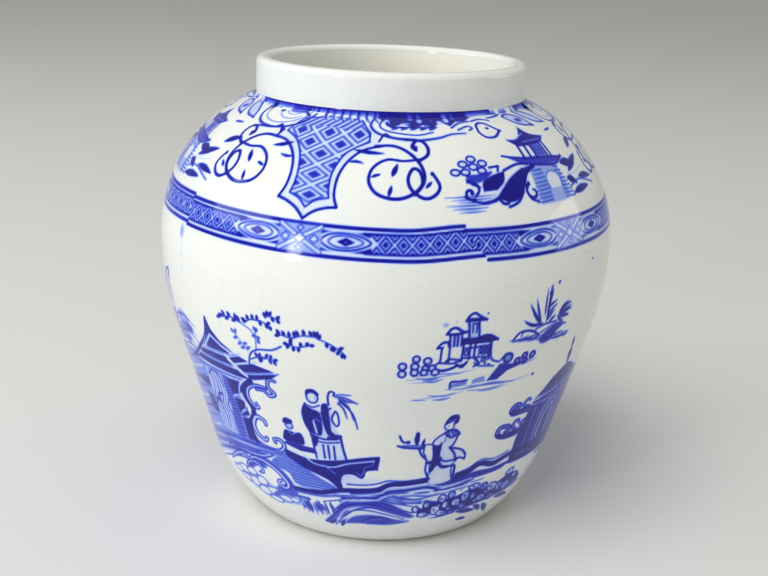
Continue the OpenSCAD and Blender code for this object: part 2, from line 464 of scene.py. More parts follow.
def scrolls(ink, c, side):
    """C-scrolls and ring loops beside the shield; side -1 mirrors them."""
    def at(*points):
        return [(c + side * t, z) for t, z in points]

    w = 0.84
    ink.line(curve(*at((-4, 131.2), (1, 131.4), (5, 130.2), (8, 127.8), (9.2, 125), (8.6, 122.4), (6.4, 120))), w,
             taper=(0.8, 0.8))
    ink.line(curve(*at((8.6, 128.4), (4, 128), (-0.5, 128.2), (-4, 126.2), (-4.8, 123), (-2.6, 120), (1.6, 118.9),
                       (5.4, 119.8), (8.4, 122.4), (8.2, 125.4), (6.4, 126.2), (5, 124), (5.6, 121.4), (8.4, 119.2),
                       (11, 119.6), (12.8, 122), (11.3, 125.2))), w, taper=(0.7, 0.9))
    ink.line(curve(*at((8.4, 128.2), (10.6, 129.3), (11.2, 130.9), (10, 132.4), (8, 132.6), (6.6, 131.3),
                       (7.6, 130.5))), w)
    ink.dot((c + side * 7.4, 131.1), 0.75, 0.6)
    ink.dot((c + side * 11.2, 125), 0.5, 0.5)
    ink.leaf(*at((0.9, 124.2), (2.4, 127.3)), 1.5)
    ink.leaf(*at((0.2, 119.4), (0.9, 122.2)), 1.1)
    ink.leaf(*at((-4.4, 124), (-1.8, 124.8)), 0.8)
    ink.leaf(*at((9.2, 121.6), (11, 123.2)), 0.9)
    ink.line(curve(*at((-3, 132.3), (-1.4, 134), (1, 133.2), (8, 132.9))), 0.55, 0.9)


def leaf_collar(ink):
    """Leaves and ribbons under the neck, and the torn edge of ink where the sheets meet it."""
    rng = np.random.default_rng(5)
    # the ribbon over the scrolls and the feathers inside it
    outer = curve((-5.4, 137.4), (-6.4, 135.8), (-4, 134.2), (1, 133.2), (8, 132.7), (15, 133.2), (20, 134), (25,
                                                                                                              134.1))
    ink.line(outer, 2.0, 0.06)
    ink.line(outer, 0.6, 0.97, (0.8, 0.5))
    ink.pen(0.4, 0.9, (-2.4, 137.2), (-3.4, 135.8), (-1.4, 134.8), (3, 134.2), (9, 133.9), (14, 134.5))
    for t in (0.4, 3.4, 6.6, 9.8, 12.8):
        ink.leaf((t, 134.9), (t + 3.6, 135.7), 1.2, 0.62, 0.2)
        ink.leaf((t - 0.4, 135.4), (t + 2.2, 135.5), 0.7, 1, 0.2)
    # the dark band, ragged above and eaten into below
    top = [(-62, 139.4), (42, 139.4)]
    under = [(42, 138.7), (36, 138.1), (31, 137.5), (28, 136.8), (24, 136.7), (21, 135.8), (18, 136.8), (15, 135.5),
             (12, 136.2), (8, 135.5), (4, 136.3), (1, 135.5), (-1.6, 136.2), (-4, 137.2), (-6, 137.3), (-8, 137.9),
             (-11, 137.5), (-13, 138.1), (-15, 137.6), (-18, 138.2), (-21, 137.7), (-25, 138.3), (-31, 138.1),
             (-36, 138.6), (-42, 138.2), (-47, 138.7), (-53, 138.4), (-62, 139)]
    ink.fill(top + [(t + rng.uniform(-0.4, 0.4), z) for t, z in under], 1)
    for t, z, rx, ry, tone in (
            (-1.2, 136.6, 1.0, 1.3, 0.06), (7.2, 137.2, 0.9, 0.7, 0.3), (10.4, 136.9, 0.9, 1.1, 0.12),
            (5.4, 136.3, 1.5, 0.5, 0.1), (12.6, 136, 0.8, 0.6, 0.45), (17.6, 136.6, 1.0, 1.0, 0.08),
            (20.4, 137, 1.0, 1.3, 0.1), (14.8, 137, 0.5, 0.4, 0.4), (23.4, 137.3, 0.8, 0.6, 0.35)):
        ink.cloud((t, z), rx, ry, tone, 0.7)
    ink.curl((0.6, 136.2), 1.5, 0.4, 150, 420, 0.6)
    for t in np.arange(-25, -5, 3.1):
        ink.leaf((t, 137.7), (t + 2.6, 136.1), 1.1, rng.uniform(0.5, 0.85), 0.3)
        ink.leaf((t + 1.4, 137.6), (t + 2.8, 136.3), 0.7, 0.06)
    # leaf outlines and lines to the right
    ink.pen(0.65, 0.92, (30, 134.2), (31, 135.8), (34.4, 136), (38.4, 134.2), (38.4, 134.2), (35, 132.9), (31.6, 133),
            (30, 134.2))
    ink.dot((34.2, 134.9), 0.7, 0.4, 0.9)
    for points in (
            ((21, 135.4), (25, 136.4), (29, 136.6)), ((23, 134.9), (27, 135.6), (28.6, 135.2), (27, 134.7)),
            ((30, 136.6), (34, 136.9), (38, 136.5))):
        ink.pen(0.5, 0.85, *points)
    ink.pen(0.9, 0.9, (40, 138), (45, 138.1), (50, 138.3), (58, 138.6), taper=(1, 0.5))
    ink.pen(0.7, 0.8, (38, 137), (43, 137.2), (47, 137.7), taper=(0.5, 0.5))
    for points in (
            ((46, 136.9), (50, 137.3), (55, 136.3), (57.4, 134.2), (57.4, 134.2), (53, 134.5), (49, 135.4),
             (46, 136.9)),
            ((55, 137.8), (60, 137.4), (65, 135.8), (67, 134.2), (67, 134.2), (62, 134.6), (58, 136), (55, 137.8))):
        ink.fill(curve(*points), 0.12)
        ink.pen(0.55, 0.85, *points)
    ink.cloud((52.4, 135.8), 1.5, 0.9, 0.6, 0.7)
    ink.dot((56.8, 134.3), 0.7, 0.5, 1)
    # the pale leaf and hook to the left
    ink.pens(
        (0.7, 0.85, (-52, 138.4), (-51, 135.6), (-47.4, 133.8), (-41, 133.2), (-35, 133.8), (-30, 135.3),
         (-28, 137.2)),
        (0.35, 0.5, (-49.6, 137.6), (-48, 135.4), (-42, 134.3), (-36, 134.8), (-31.6, 136.2), (-30.2, 137.4)),
        (0.35, 0.45, (-43, 136.4), (-40, 135.6), (-36, 135.6), (-33, 136.4)),
        (0.3, 0.45, (-41, 137), (-38, 136.4), (-34.6, 136.8)))
    ink.dot((-43.2, 136.9), 0.9, 0.6, 0.85)
    ink.cloud((-36.4, 137.3), 3.0, 0.9, 0.5, 0.9)
    ink.pen(0.8, 0.9, (-30, 136.6), (-33, 137.5), (-35.6, 138.3), (-34.4, 138.9))
    for t in np.arange(-60, -35, 1.7):
        ink.leaf((t, 138.2 + rng.uniform(-0.3, 0.9)), (t + 2.4, 137.6 + rng.uniform(-0.6, 0.8)), 1.2,
                 rng.uniform(0.4, 1))
    ink.cloud((-50.5, 137.6), 2.0, 1.1, 0.4, 0.9)
    ink.cloud((-47.6, 137.9), 1.0, 0.8, 0.12, 0.6)


def island_pagoda(ink):
    """The little island with a two-tier pagoda, its rocks, bush and water."""
    for i, z in enumerate((119.2, 118.5, 117.8, 117, 116.2, 115.4)):
        ink.line([(13.6 + (i % 3) * 1.6, z), (27 - i * 0.7, z + 0.1)], 0.35, 0.7, (0.3, 0.3))
    body = box_points(40, 115.4, 52, 125)
    ink.fill(body, 0.2, 0.6)
    for i in range(9):
        z = 116 + i
        ink.line([(38.6 + 0.3 * i, z), (44.6, z + 0.2)], 0.4, 0.62, (0.4, 1))
        ink.line([(50, z + 0.2), (54.5 - 0.3 * i, z)], 0.4, 0.6)
    ink.fill(curve((45.2, 119), (45.2, 119), (45, 122), (47.8, 123.4), (50.4, 122), (50, 119), (50, 119)), 0.05)
    ink.pen(0.35, 0.5, (45.2, 119), (45, 122), (47.8, 123.4), (50.4, 122), (50, 119))
    # roofs
    ink.fill(curve((33, 128.6), (33, 128.6), (40, 127.6), (52, 126.8), (57, 126), (57, 126), (51, 125.2), (43, 125.6),
                   (38, 126.4)), 0.6)
    ink.pens(
        (0.5, 0.9, (33, 128.4), (40, 127.4), (48, 127), (57, 126)),
        (0.6, 0.95, (31.5, 125), (37, 126.2), (44, 125.4), (52, 124.8), (57, 126.4)))
    for t in (40.8, 43.5, 46, 51, 52.6):
        ink.line([(t, 127), (t, 131)], 0.8, 0.9)
    ink.fill([(46.4, 127.4), (50.4, 127.2), (50.4, 130), (46.4, 130)], 0.5)
    ink.fill(curve((38, 132), (38, 132), (43, 131.9), (47.6, 134.4), (47.6, 134.4), (50, 132.6), (55.6, 131.6),
                   (55.6, 131.6), (51, 130.2), (41, 130.2)), 0.85)
    ink.line([(42, 131.9), (47.4, 133)], 0.4, 0.1)
    ink.line([(44, 131), (53, 131.2)], 0.4, 0.1)
    # rocks and scrolling banks
    ink.fill(curve((24, 120.4), (24, 120.4), (24.4, 122.6), (27.4, 124), (31.5, 124.8), (31.5, 124.8), (30.4, 122.4),
                   (27.8, 120.6)), 1)
    ink.fill(curve((28, 118.2), (28, 118.2), (30, 121.4), (34, 123.4), (39.6, 125.4), (43, 125.2), (39, 123.6),
                   (36.4, 120.6), (33.4, 117.8), (30.6, 117.2)), 1)
    for shift in (0, -1.1):
        ink.pen(0.5, 0.9 if shift else 0.08, (18.6, 119.6 + shift * .3), (23, 118 + shift * .4), (27.4, 119.2 + shift),
                (31, 122 + shift), (36, 124.6 + shift * .8), (41, 125.6 + shift * .5))
    ink.pen(0.45, 0.95, (19, 119), (23, 117.6), (27, 118.4), (29.6, 120.4), (33, 123), (38, 125))
    ink.curl((20.4, 120), 1.9, 0.6, -60, -380, 0.7)
    ink.dot((20.6, 120.1), 0.5, 0.5)
    ink.pen(0.6, 1, (20, 122.8), (21.8, 122.8), (22.8, 120.8), (21.6, 119.4))
    ink.leaf((19.6, 123.6), (23.6, 121.2), 1.4, 0.8)
    ink.shape(0.6, (20, 124.2), (24, 124.6), (28, 125), (24.6, 123), (22, 122.6))
    ink.curl((29.8, 118.2), 2.4, 1.0, 170, 330, 0.7)
    ink.pen(0.6, 1, (30, 116), (33, 117), (35.6, 119.6))
    ink.curl((38.4, 119), 2.6, 0.7, 100, 440, 0.75)
    ink.pen(0.5, 1, (38, 121.6), (36.6, 120), (37.2, 117.4), (39.4, 116.4))
    ink.dot((36.6, 121.4), 0.6, 0.5)
    for t, z in ((17.4, 125.2), (20, 127.1), (22.8, 128.2), (25.8, 127.1), (22.8, 126.4), (20.2, 125.2), (25, 125.4)):
        ink.ring((t, z), 1.35, 1.0, 0.42, 0.97, 0.05)
    ink.line([(27.4, 126), (30.4, 126.2), (29.6, 125)], 0.6, 0.85)
    # trees on the right, dark leaves that overlap
    for a, b, w in (
            ((54, 124.6), (62, 123.4), 3), ((56, 122), (66, 125.4), 2.4), ((53.6, 120.6), (58, 118.6), 2.6),
            ((54, 116.4), (64, 117), 2.2), ((60, 120), (69, 118.8), 2), ((65, 127.2), (72, 129.4), 2.2)):
        ink.leaf(a, b, w, 0.92, 0.4)
    ink.pens(
        (0.5, 0.6, (54, 118.4), (60, 119.4), (68, 117)),
        (0.4, 0.1, (55, 121.4), (60, 121.4), (66, 122.6)))
    ink.leaf((60, 132.4), (66, 132.6), 0.9, 0.7)


def shoulder_sheet(ink):
    island_pagoda(ink)
    shield(ink)
    leaf_collar(ink)
    scrolls(ink, 0, 1)
    scrolls(ink, -38.6, -1)


# ---------------------------------------------------------------- the scene sheets

def volute(ink, points, w=1.5, edge=0.4, tone=0.95, inside=0.08):
    """A scroll drawn as a pale ribbon with a dark edge."""
    line = curve(*points)
    ink.line(line, w + 2 * edge, tone, (0.7, 0.7))
    ink.line(line, w, inside, (0.6, 0.6))


def sprig(ink, stem, leaves, size=1.9, w=1.0, tone=0.9):
    """A stem with pointed leaves at (place, direction in degrees) along it."""
    line = curve(*stem)
    ink.line(line, 0.35, tone * 0.85)
    for share, angle in leaves:
        a = line[int(share * (len(line) - 1))]
        r = math.radians(angle)
        b = ink.around(a, (size * math.cos(r), size * math.sin(r)))[0]
        ink.leaf(a, b, w, tone)


def pavilion(ink):
    """The large open pavilion at the left of the scene, with the scrolls on its right side."""
    # the wall behind and the screen with flowing lines
    ink.fill([(-70, 26), (-70, 60), (-57, 62), (-53, 58), (-40, 58), (-38, 35), (-45, 33), (-58, 27)], 0.3, 1.2)
    for i in range(9):
        z = 28 + i * 3.6
        ink.pen(0.9, (0.7, 0.12, 0.5)[i % 3], (-72, z - 3), (-64, z), (-56, z + 3.4))
    ink.fill([(-64, 50), (-57, 51.8), (-54, 53.4), (-54, 49.8)], 0.95)
    ink.fill([(-58.5, 46.6), (-53.8, 46), (-53.6, 40), (-57.4, 40)], 0.85)
    ink.line([(-56.6, 44.6), (-53.8, 44.6)], 0.5, 0.1)
    ink.fill([(-53.2, 35.6), (-53.8, 58.6), (-45, 59), (-45.6, 35.6)], 0.14)
    for i, t in enumerate((-52.6, -51.4, -50.2, -48.8, -47.4, -46.2)):
        ink.pen(0.5, (0.62, 0.4, 0.75)[i % 3], (t, 36.5), (t + 0.8, 41 + i % 2), (t - 0.4, 46), (t + 0.9, 51 - i % 2),
                (t + 0.2, 57.4), taper=(0.5, 0.5))
    ink.pens(
        (0.8, 0.8, (-53, 44.6), (-51.6, 47), (-50.4, 45.6), (-50.2, 48.6), (-48.6, 49.6)),
        (0.7, 0.6, (-52.8, 55), (-50.2, 57.6), (-47.4, 56.8), (-46.4, 53)))
    ink.hatch([(-45, 36), (-45.4, 58), (-43, 58), (-41.8, 48), (-41.6, 36)], -4.2, 1.1, 0.55, 0.75, 0.3)
    # dark posts and the white curves that cut them
    ink.fill([(-43.6, 57.2), (-38.4, 58), (-38.6, 54), (-41.4, 52.4), (-42.8, 52.6)], 1)
    ink.fill([(-42, 50.8), (-38.4, 50.8), (-37.8, 46), (-41.4, 44.6)], 1)
    ink.fill([(-41, 44), (-38.2, 44.4), (-38.4, 36.4), (-40.6, 36.2)], 1)
    ink.pens(
        (1.9, 1, (-34.4, 59.6), (-37.4, 56.4), (-37.6, 53), (-35.8, 49.4), (-36.4, 46), (-38.6, 42.6), (-38.4, 39),
         (-37.2, 36.2)),
        (0.7, 0.1, (-42.8, 51), (-40.4, 52.6), (-38.6, 51.2), (-38.8, 48), (-40.6, 46)),
        (0.55, 0.12, (-41.4, 45), (-39.6, 47.4), (-37.6, 47.4)),
        (0.8, 0.1, (-38.6, 57.4), (-39.6, 54), (-38.8, 52)))
    # the scrolls down its side
    volute(ink, [(-26.6, 62), (-28.4, 62), (-29, 59.4), (-27.4, 57.2), (-29, 56.2), (-30.6, 57.6), (-33, 57.2)], 0.7)
    volute(ink, [(-29.8, 58.6), (-33, 58.6), (-36, 56.4), (-36.6, 53), (-35, 50.4), (-33.6, 50.4), (-34, 51.8)], 0.8)
    volute(ink, [(-32.4, 44.4), (-32.8, 46), (-35.4, 46.4), (-37, 43), (-36.2, 39.8), (-33.8, 38.2), (-33, 39.4)], 1.1)
    volute(ink, [(-30.2, 38.4), (-30.4, 39.8), (-28.2, 39.9), (-27.4, 37.6), (-29.4, 35.6), (-33.4, 35.4),
                 (-36, 36.4)], 0.8)
    # the roof
    ink.fill([(-46.9, 77.3), (-45.4, 73.6), (-42.6, 70.6), (-38, 68), (-33, 66.3), (-25, 65), (-27.6, 62.6),
              (-33, 60.6), (-37, 59.8), (-56, 60), (-53.4, 64.4), (-50.4, 67.4), (-48.4, 70.6), (-47.6, 74)], 0.97)
    ink.line([(-49.4, 66.8), (-46.2, 71.4), (-42, 68.9), (-38.6, 67.6)], 1.05, 0.05)
    ink.line([(-48.8, 67), (-46.2, 70.4), (-42.6, 68.4)], 0.25, 0.6)
    ink.line([(-53.6, 65.7), (-40.6, 66.3), (-36, 68.4)], 1.5, 0.06)
    ink.line([(-53.4, 65.8), (-41, 66.3), (-37, 67.8)], 0.25, 0.55)
    ink.line([(-55.4, 62.6), (-38.8, 62.6)], 1.15, 0.08)
    ink.line([(-55.6, 62.6), (-39.6, 62.5)], 0.25, 0.5)
    ink.line([(-41, 64.9), (-37.6, 62.2), (-36, 61.2)], 0.9, 0.06)
    ink.line([(-52.4, 64.9), (-50, 64.9), (-41, 63.2)], 0.35, 0.4)
    ink.line([(-41.4, 66), (-38.6, 63.6), (-35.2, 61)], 1.25, 0.05)
    ink.line([(-38.6, 64.1), (-34.6, 65.8), (-31, 67.2)], 1.0, 0.06)
    ink.line([(-36.4, 61.6), (-31, 63.3), (-25.9, 65)], 1.0, 0.05)
    ink.line([(-35.6, 61.9), (-31, 63.4), (-26.6, 64.8)], 0.22, 0.6)
    ink.line([(-56, 59.6), (-37, 59.4)], 0.8, 0.06)
    ink.line([(-57, 58.7), (-45, 58.9), (-37.6, 58.9)], 0.45, 0.7)
    ink.line([(-57, 57.8), (-47, 58), (-44, 57.9)], 0.4, 0.5)
    ink.pens(
        (0.9, 1, (-47, 76.8), (-48, 71.4), (-51, 67), (-56.4, 61.4), (-60, 59)),
        (0.5, 0.08, (-48.4, 70.4), (-50.6, 66.4), (-55, 61.4)))


def blossom_tree(ink):
    """The leafy branches above the pavilion."""
    ink.pens(
        (0.5, 0.75, (-33.4, 66), (-32.4, 69.8), (-30, 71.9), (-26, 72.9), (-23.4, 74.8)),
        (0.4, 0.7, (-32.6, 68), (-30.4, 69.2), (-28, 69.4)),
        (0.35, 0.6, (-30.4, 72), (-30.2, 75), (-31, 77.6), (-34, 79.4), (-36.4, 80.2)))
    for stem, leaves, size, tone in (
            (((-34, 79.6), (-37, 80.4), (-40.4, 79.6)),
             ((0.1, 120), (0.3, 110), (0.3, 200), (0.5, 140), (0.6, 215), (0.75, 130), (0.9, 170), (1, 200)), 2.0,
            0.85),
            (((-29, 81.6), (-31, 81.4), (-32.6, 80.4)), ((0.1, 90), (0.4, 110), (0.7, 120), (0.9, 200), (1, 150)), 1.6,
             0.95),
            (((-29.4, 81.8), (-27.6, 81.4), (-26.2, 80.6)), ((0.3, -70), (0.7, -60), (1, -50), (0.8, 30)), 1.5, 0.9),
            (((-27, 83), (-26, 83.8), (-24.2, 83.2)),
             ((0.1, 110), (0.4, 95), (0.5, 60), (0.7, -60), (1, -40), (1, 40)), 1.6, 0.9),
            (((-30, 78), (-30, 76.6), (-29.6, 75)), ((0, 110), (0.2, 60), (0.5, 200), (0.6, -20), (0.9, -60)), 1.5,
             0.6),
            (((-36.4, 75.4), (-34.6, 73), (-33, 70.6)),
             ((0, 140), (0.1, 80), (0.3, 200), (0.5, 215), (0.6, 20), (0.8, 200), (0.9, 30)), 1.9, 0.5),
            (((-30.4, 69.2), (-28.4, 69.8), (-26, 69.4)),
             ((0, 110), (0.2, 70), (0.2, -80), (0.4, -100), (0.6, 60), (0.8, -70), (0.9, 80), (1, -60), (1, 20)), 1.7,
            0.78),
            (((-23.4, 78.6), (-20.6, 78.2), (-18, 79.4), (-14.8, 79.6)),
             ((0, 200), (0.05, 130), (0.2, 120), (0.3, 95), (0.35, -110), (0.45, 100), (0.6, 110), (0.75, 100),
             (0.9, 115), (1, 70), (1, 110)), 1.8, 0.95),
            (((-21.6, 76), (-19.4, 75.4), (-16.4, 76.6)),
             ((0, 180), (0.1, -120), (0.3, 110), (0.4, -90), (0.6, -100), (0.7, 100), (0.9, 60), (1, 10)), 1.5, 0.92),
            (((-14.6, 79.2), (-12, 78), (-10, 76.6), (-8.6, 75.2)),
             ((0.1, 60), (0.3, -80), (0.5, -110), (0.6, -100), (0.75, 30), (0.8, -120), (0.95, -100), (1, -75)), 1.6,
            0.95)):
        sprig(ink, stem, leaves, size * 1.12, 1.15, tone)


def man_with_bird(ink):
    """A standing figure in a long coat holding up a long-tailed bird, and a smaller one seated beside."""
    ink.pen(0.5, 0.95, (-19, 56.4), (-20, 53), (-19.6, 49), (-18.4, 45.6), (-17.8, 40), (-17.4, 36.4))
    ink.fill([(-19.6, 55.6), (-17.6, 55.2), (-15, 54.2), (-13.4, 57), (-12.2, 56.6), (-12, 50), (-9.8, 46), (-9, 37),
              (-17.2, 36.6), (-17.8, 44.6)], 0.06)
    ink.shapes(
        (1, (-19.6, 55.4), (-17.4, 54.6), (-15.2, 53), (-15.2, 46), (-17, 45.4), (-18.4, 46.4), (-19.8, 51)),
        (1, (-14.6, 56.6), (-13.2, 57), (-12.8, 52), (-12.6, 47.6), (-11.4, 46), (-13.4, 45.8), (-14.4, 49),
         (-14.8, 53)))
    ink.line([(-17.2, 50), (-16.6, 46)], 0.9, 0.08)
    ink.pen(0.45, 0.12, (-17.4, 50.2), (-16.4, 51.2), (-15.4, 50.4))
    ink.ring((-16.9, 58.9), 1.75, 2.1, 0.4, 0.95, 0.05)
    ink.shape(0.95, (-18.5, 59.4), (-18.3, 61.2), (-16.6, 61.9), (-15.2, 60.6), (-15.4, 59.6), (-16.6, 60.6),
              (-17.8, 60.2))
    ink.line([(-16.3, 59.3), (-16.1, 58.5)], 0.2, 0.35)
    ink.pens(
        (0.4, 0.9, (-18.8, 56), (-17, 55.4), (-15.2, 56.4)),
        (0.4, 0.9, (-15, 53.6), (-13.4, 54.8), (-12.2, 56)),
        (0.5, 0.95, (-12.8, 57), (-12.8, 60), (-12.2, 61.8), (-11.2, 61.6), (-11.4, 60.4)),
        (0.45, 0.95, (-11.2, 55), (-12.2, 52), (-11.2, 49.6), (-10.4, 50.6), (-10.6, 54), (-11.2, 55)),
        (0.5, 0.95, (-18, 45), (-15, 44), (-12.4, 44.4), (-10, 46)))
    ink.shapes(
        (0.95, (-17.8, 44.8), (-16.4, 44), (-17, 41.4), (-17.6, 41)),
        (0.8, (-13.8, 45), (-10.8, 46.4), (-10.6, 44.6), (-13, 44)))
    ink.pens(
        (0.4, 0.9, (-17.4, 43), (-14, 42.8), (-10.6, 43.6)),
        (0.6, 0.95, (-10.2, 46), (-9.6, 41), (-8.8, 37)))
    for t in (-15.2, -13.8, -12.2):
        ink.line([(t, 41.8), (t + 0.2, 36.8)], 0.5, 0.9)
    # the bird
    ink.pens(
        (0.4, 0.7, (-10.8, 60.8), (-9.4, 61.2), (-7.2, 61.2)),
        (0.4, 0.85, (-11, 60.2), (-8.6, 60.2), (-5.6, 58.4)))
    ink.pen(0.8, 0.6, (-10, 60.2), (-8, 59), (-6.6, 58.6), taper=(0.3, 0.3))
    ink.leaf((-10.6, 60.4), (-8, 56.4), 1.0, 0.6)
    ink.pen(0.5, 0.95, (-10, 58.6), (-8.4, 57.2), (-6.6, 54), (-5.6, 49.2), taper=(1, 0.6))
    ink.pen(0.5, 0.85, (-10.4, 58), (-9, 56), (-8.2, 52.6), taper=(1, 0.4))
    ink.pen(0.35, 0.7, (-9.2, 59.4), (-7.6, 56.6), (-6.6, 52.4))
    # the seated child-sized figure with a basket
    ink.ring((-24.6, 46.8), 1.3, 1.3, 0.35, 0.8, 0.15)
    ink.shapes(
        (0.95, (-26.4, 47.6), (-25.6, 49.4), (-23.6, 49), (-23.6, 48), (-25, 47.2)),
        (0.97, (-27, 42), (-26, 44.8), (-23.4, 44.4), (-21.4, 44.6), (-20.6, 42), (-21.4, 40.4), (-26.4, 40.8)))
    ink.pen(0.4, 0.12, (-25.2, 44.8), (-24.2, 43.6), (-22.8, 44.6))
    ink.fill([(-26.6, 40.6), (-18, 39.8), (-17.4, 38), (-22, 38), (-26, 39.4)], 0.75)
    ink.line([(-26.8, 39.8), (-22, 38.2), (-17.4, 38.2)], 0.5, 1)


def terrace_boat(ink):
    """The dark prow-ended terrace, the striped water under it, and the shore."""
    water = curve((-33, 31), (-27, 34.6), (-24, 33), (-18, 29), (-12.4, 25.6), (-16, 24.4), (-25, 24), (-27.4, 27.6),
                  (-31, 29), closed=True)
    ink.fill(water, 0.42)
    for i in range(9):
        z = 33.6 - i * 1.15
        ink.line([(-32 + i * 0.8, z), (-24.4 + i * 1.5, z - 0.9)], 0.4, 0.1, (0.4, 0.4))
        ink.line([(-31 + i * 0.8, z - 0.55), (-23.8 + i * 1.5, z - 1.4)], 0.3, 0.72, (0.3, 0.3))
    ink.fill(curve((-27.2, 37.2), (-27.2, 37.2), (-24, 36.2), (-20.4, 35.4), (-15, 35.8), (-10, 36.8), (-5, 38.2),
                   (-0.6, 39), (0.3, 38.6), (-0.2, 34), (-0.2, 34), (-3.2, 33.4), (-4, 31), (-5, 30.4), (-7, 31.6),
                   (-9.8, 31.2), (-10.8, 28.6), (-10.4, 26), (-11, 24.6), (-14, 28), (-18, 30), (-22, 31.6),
                   (-27.4, 35)), 1)
    ink.shape(0.05, (-10.6, 29), (-9.4, 31.4), (-5.6, 30.6), (-4.6, 30), (-1, 31), (1, 30), (-2, 28.4), (-9, 27.6))
    ink.pens(
        (0.75, 0.06, (-21.4, 36.6), (-19, 34.2), (-15.6, 33.6), (-12.4, 33.8), (-8.6, 35.6), (-4, 36.8), (-1.2, 37.4)),
        (0.4, 0.25, (-1.2, 37.4), (-1.8, 35.6), (-3.6, 34.8), (-4.2, 32.6), (-5, 31.4), (-6.2, 32.6)),
        (0.5, 0.2, (-15.4, 34), (-13.8, 32.4), (-12.2, 31.2)))
    # the shore's ruled edge, then its dark bank
    shore = [(-26, 22), (-18, 22.6), (-11, 24.8), (-5, 25.4), (0, 26.2), (3.4, 28.2), (8, 28.6), (14.6, 29.4)]
    ink.pens(
        (1.75, 1, *shore),
        (0.4, 0.9, (-9, 27.6), (-4, 27.8), (0, 28.6), (3, 29.8), (8, 29.6), (14.2, 30.4)),
        (2.0, 1, (22, 29.4), (27, 30.6), (31, 32.8), (36, 31.4), (41, 32.8), (46, 33.2), (60, 31)),
        (0.4, 0.85, (22.4, 30.6), (27, 32), (31, 34.4), (36, 33.4), (41, 34.8)))
    ink.fill(curve((22, 28.6), (30, 30), (36, 29.6), (44, 30.4), (44, 30.4), (40, 28), (30, 27.4), (22, 26), (15, 26),
                   (15, 28.6)), 0.7)
    for d, tone in ((-1.8, 0.12), (-3, 0.7), (-4.2, 0.1)):
        ink.pen(0.7, tone, *[(t, z + d) for t, z in shore[2:]], (20, 28 + d), (29, 29 + d * 0.8))
    ink.pen(1.0, 0.45, (-26, 21), (-18, 21.2), (-12, 22.4), (-6, 22.8))


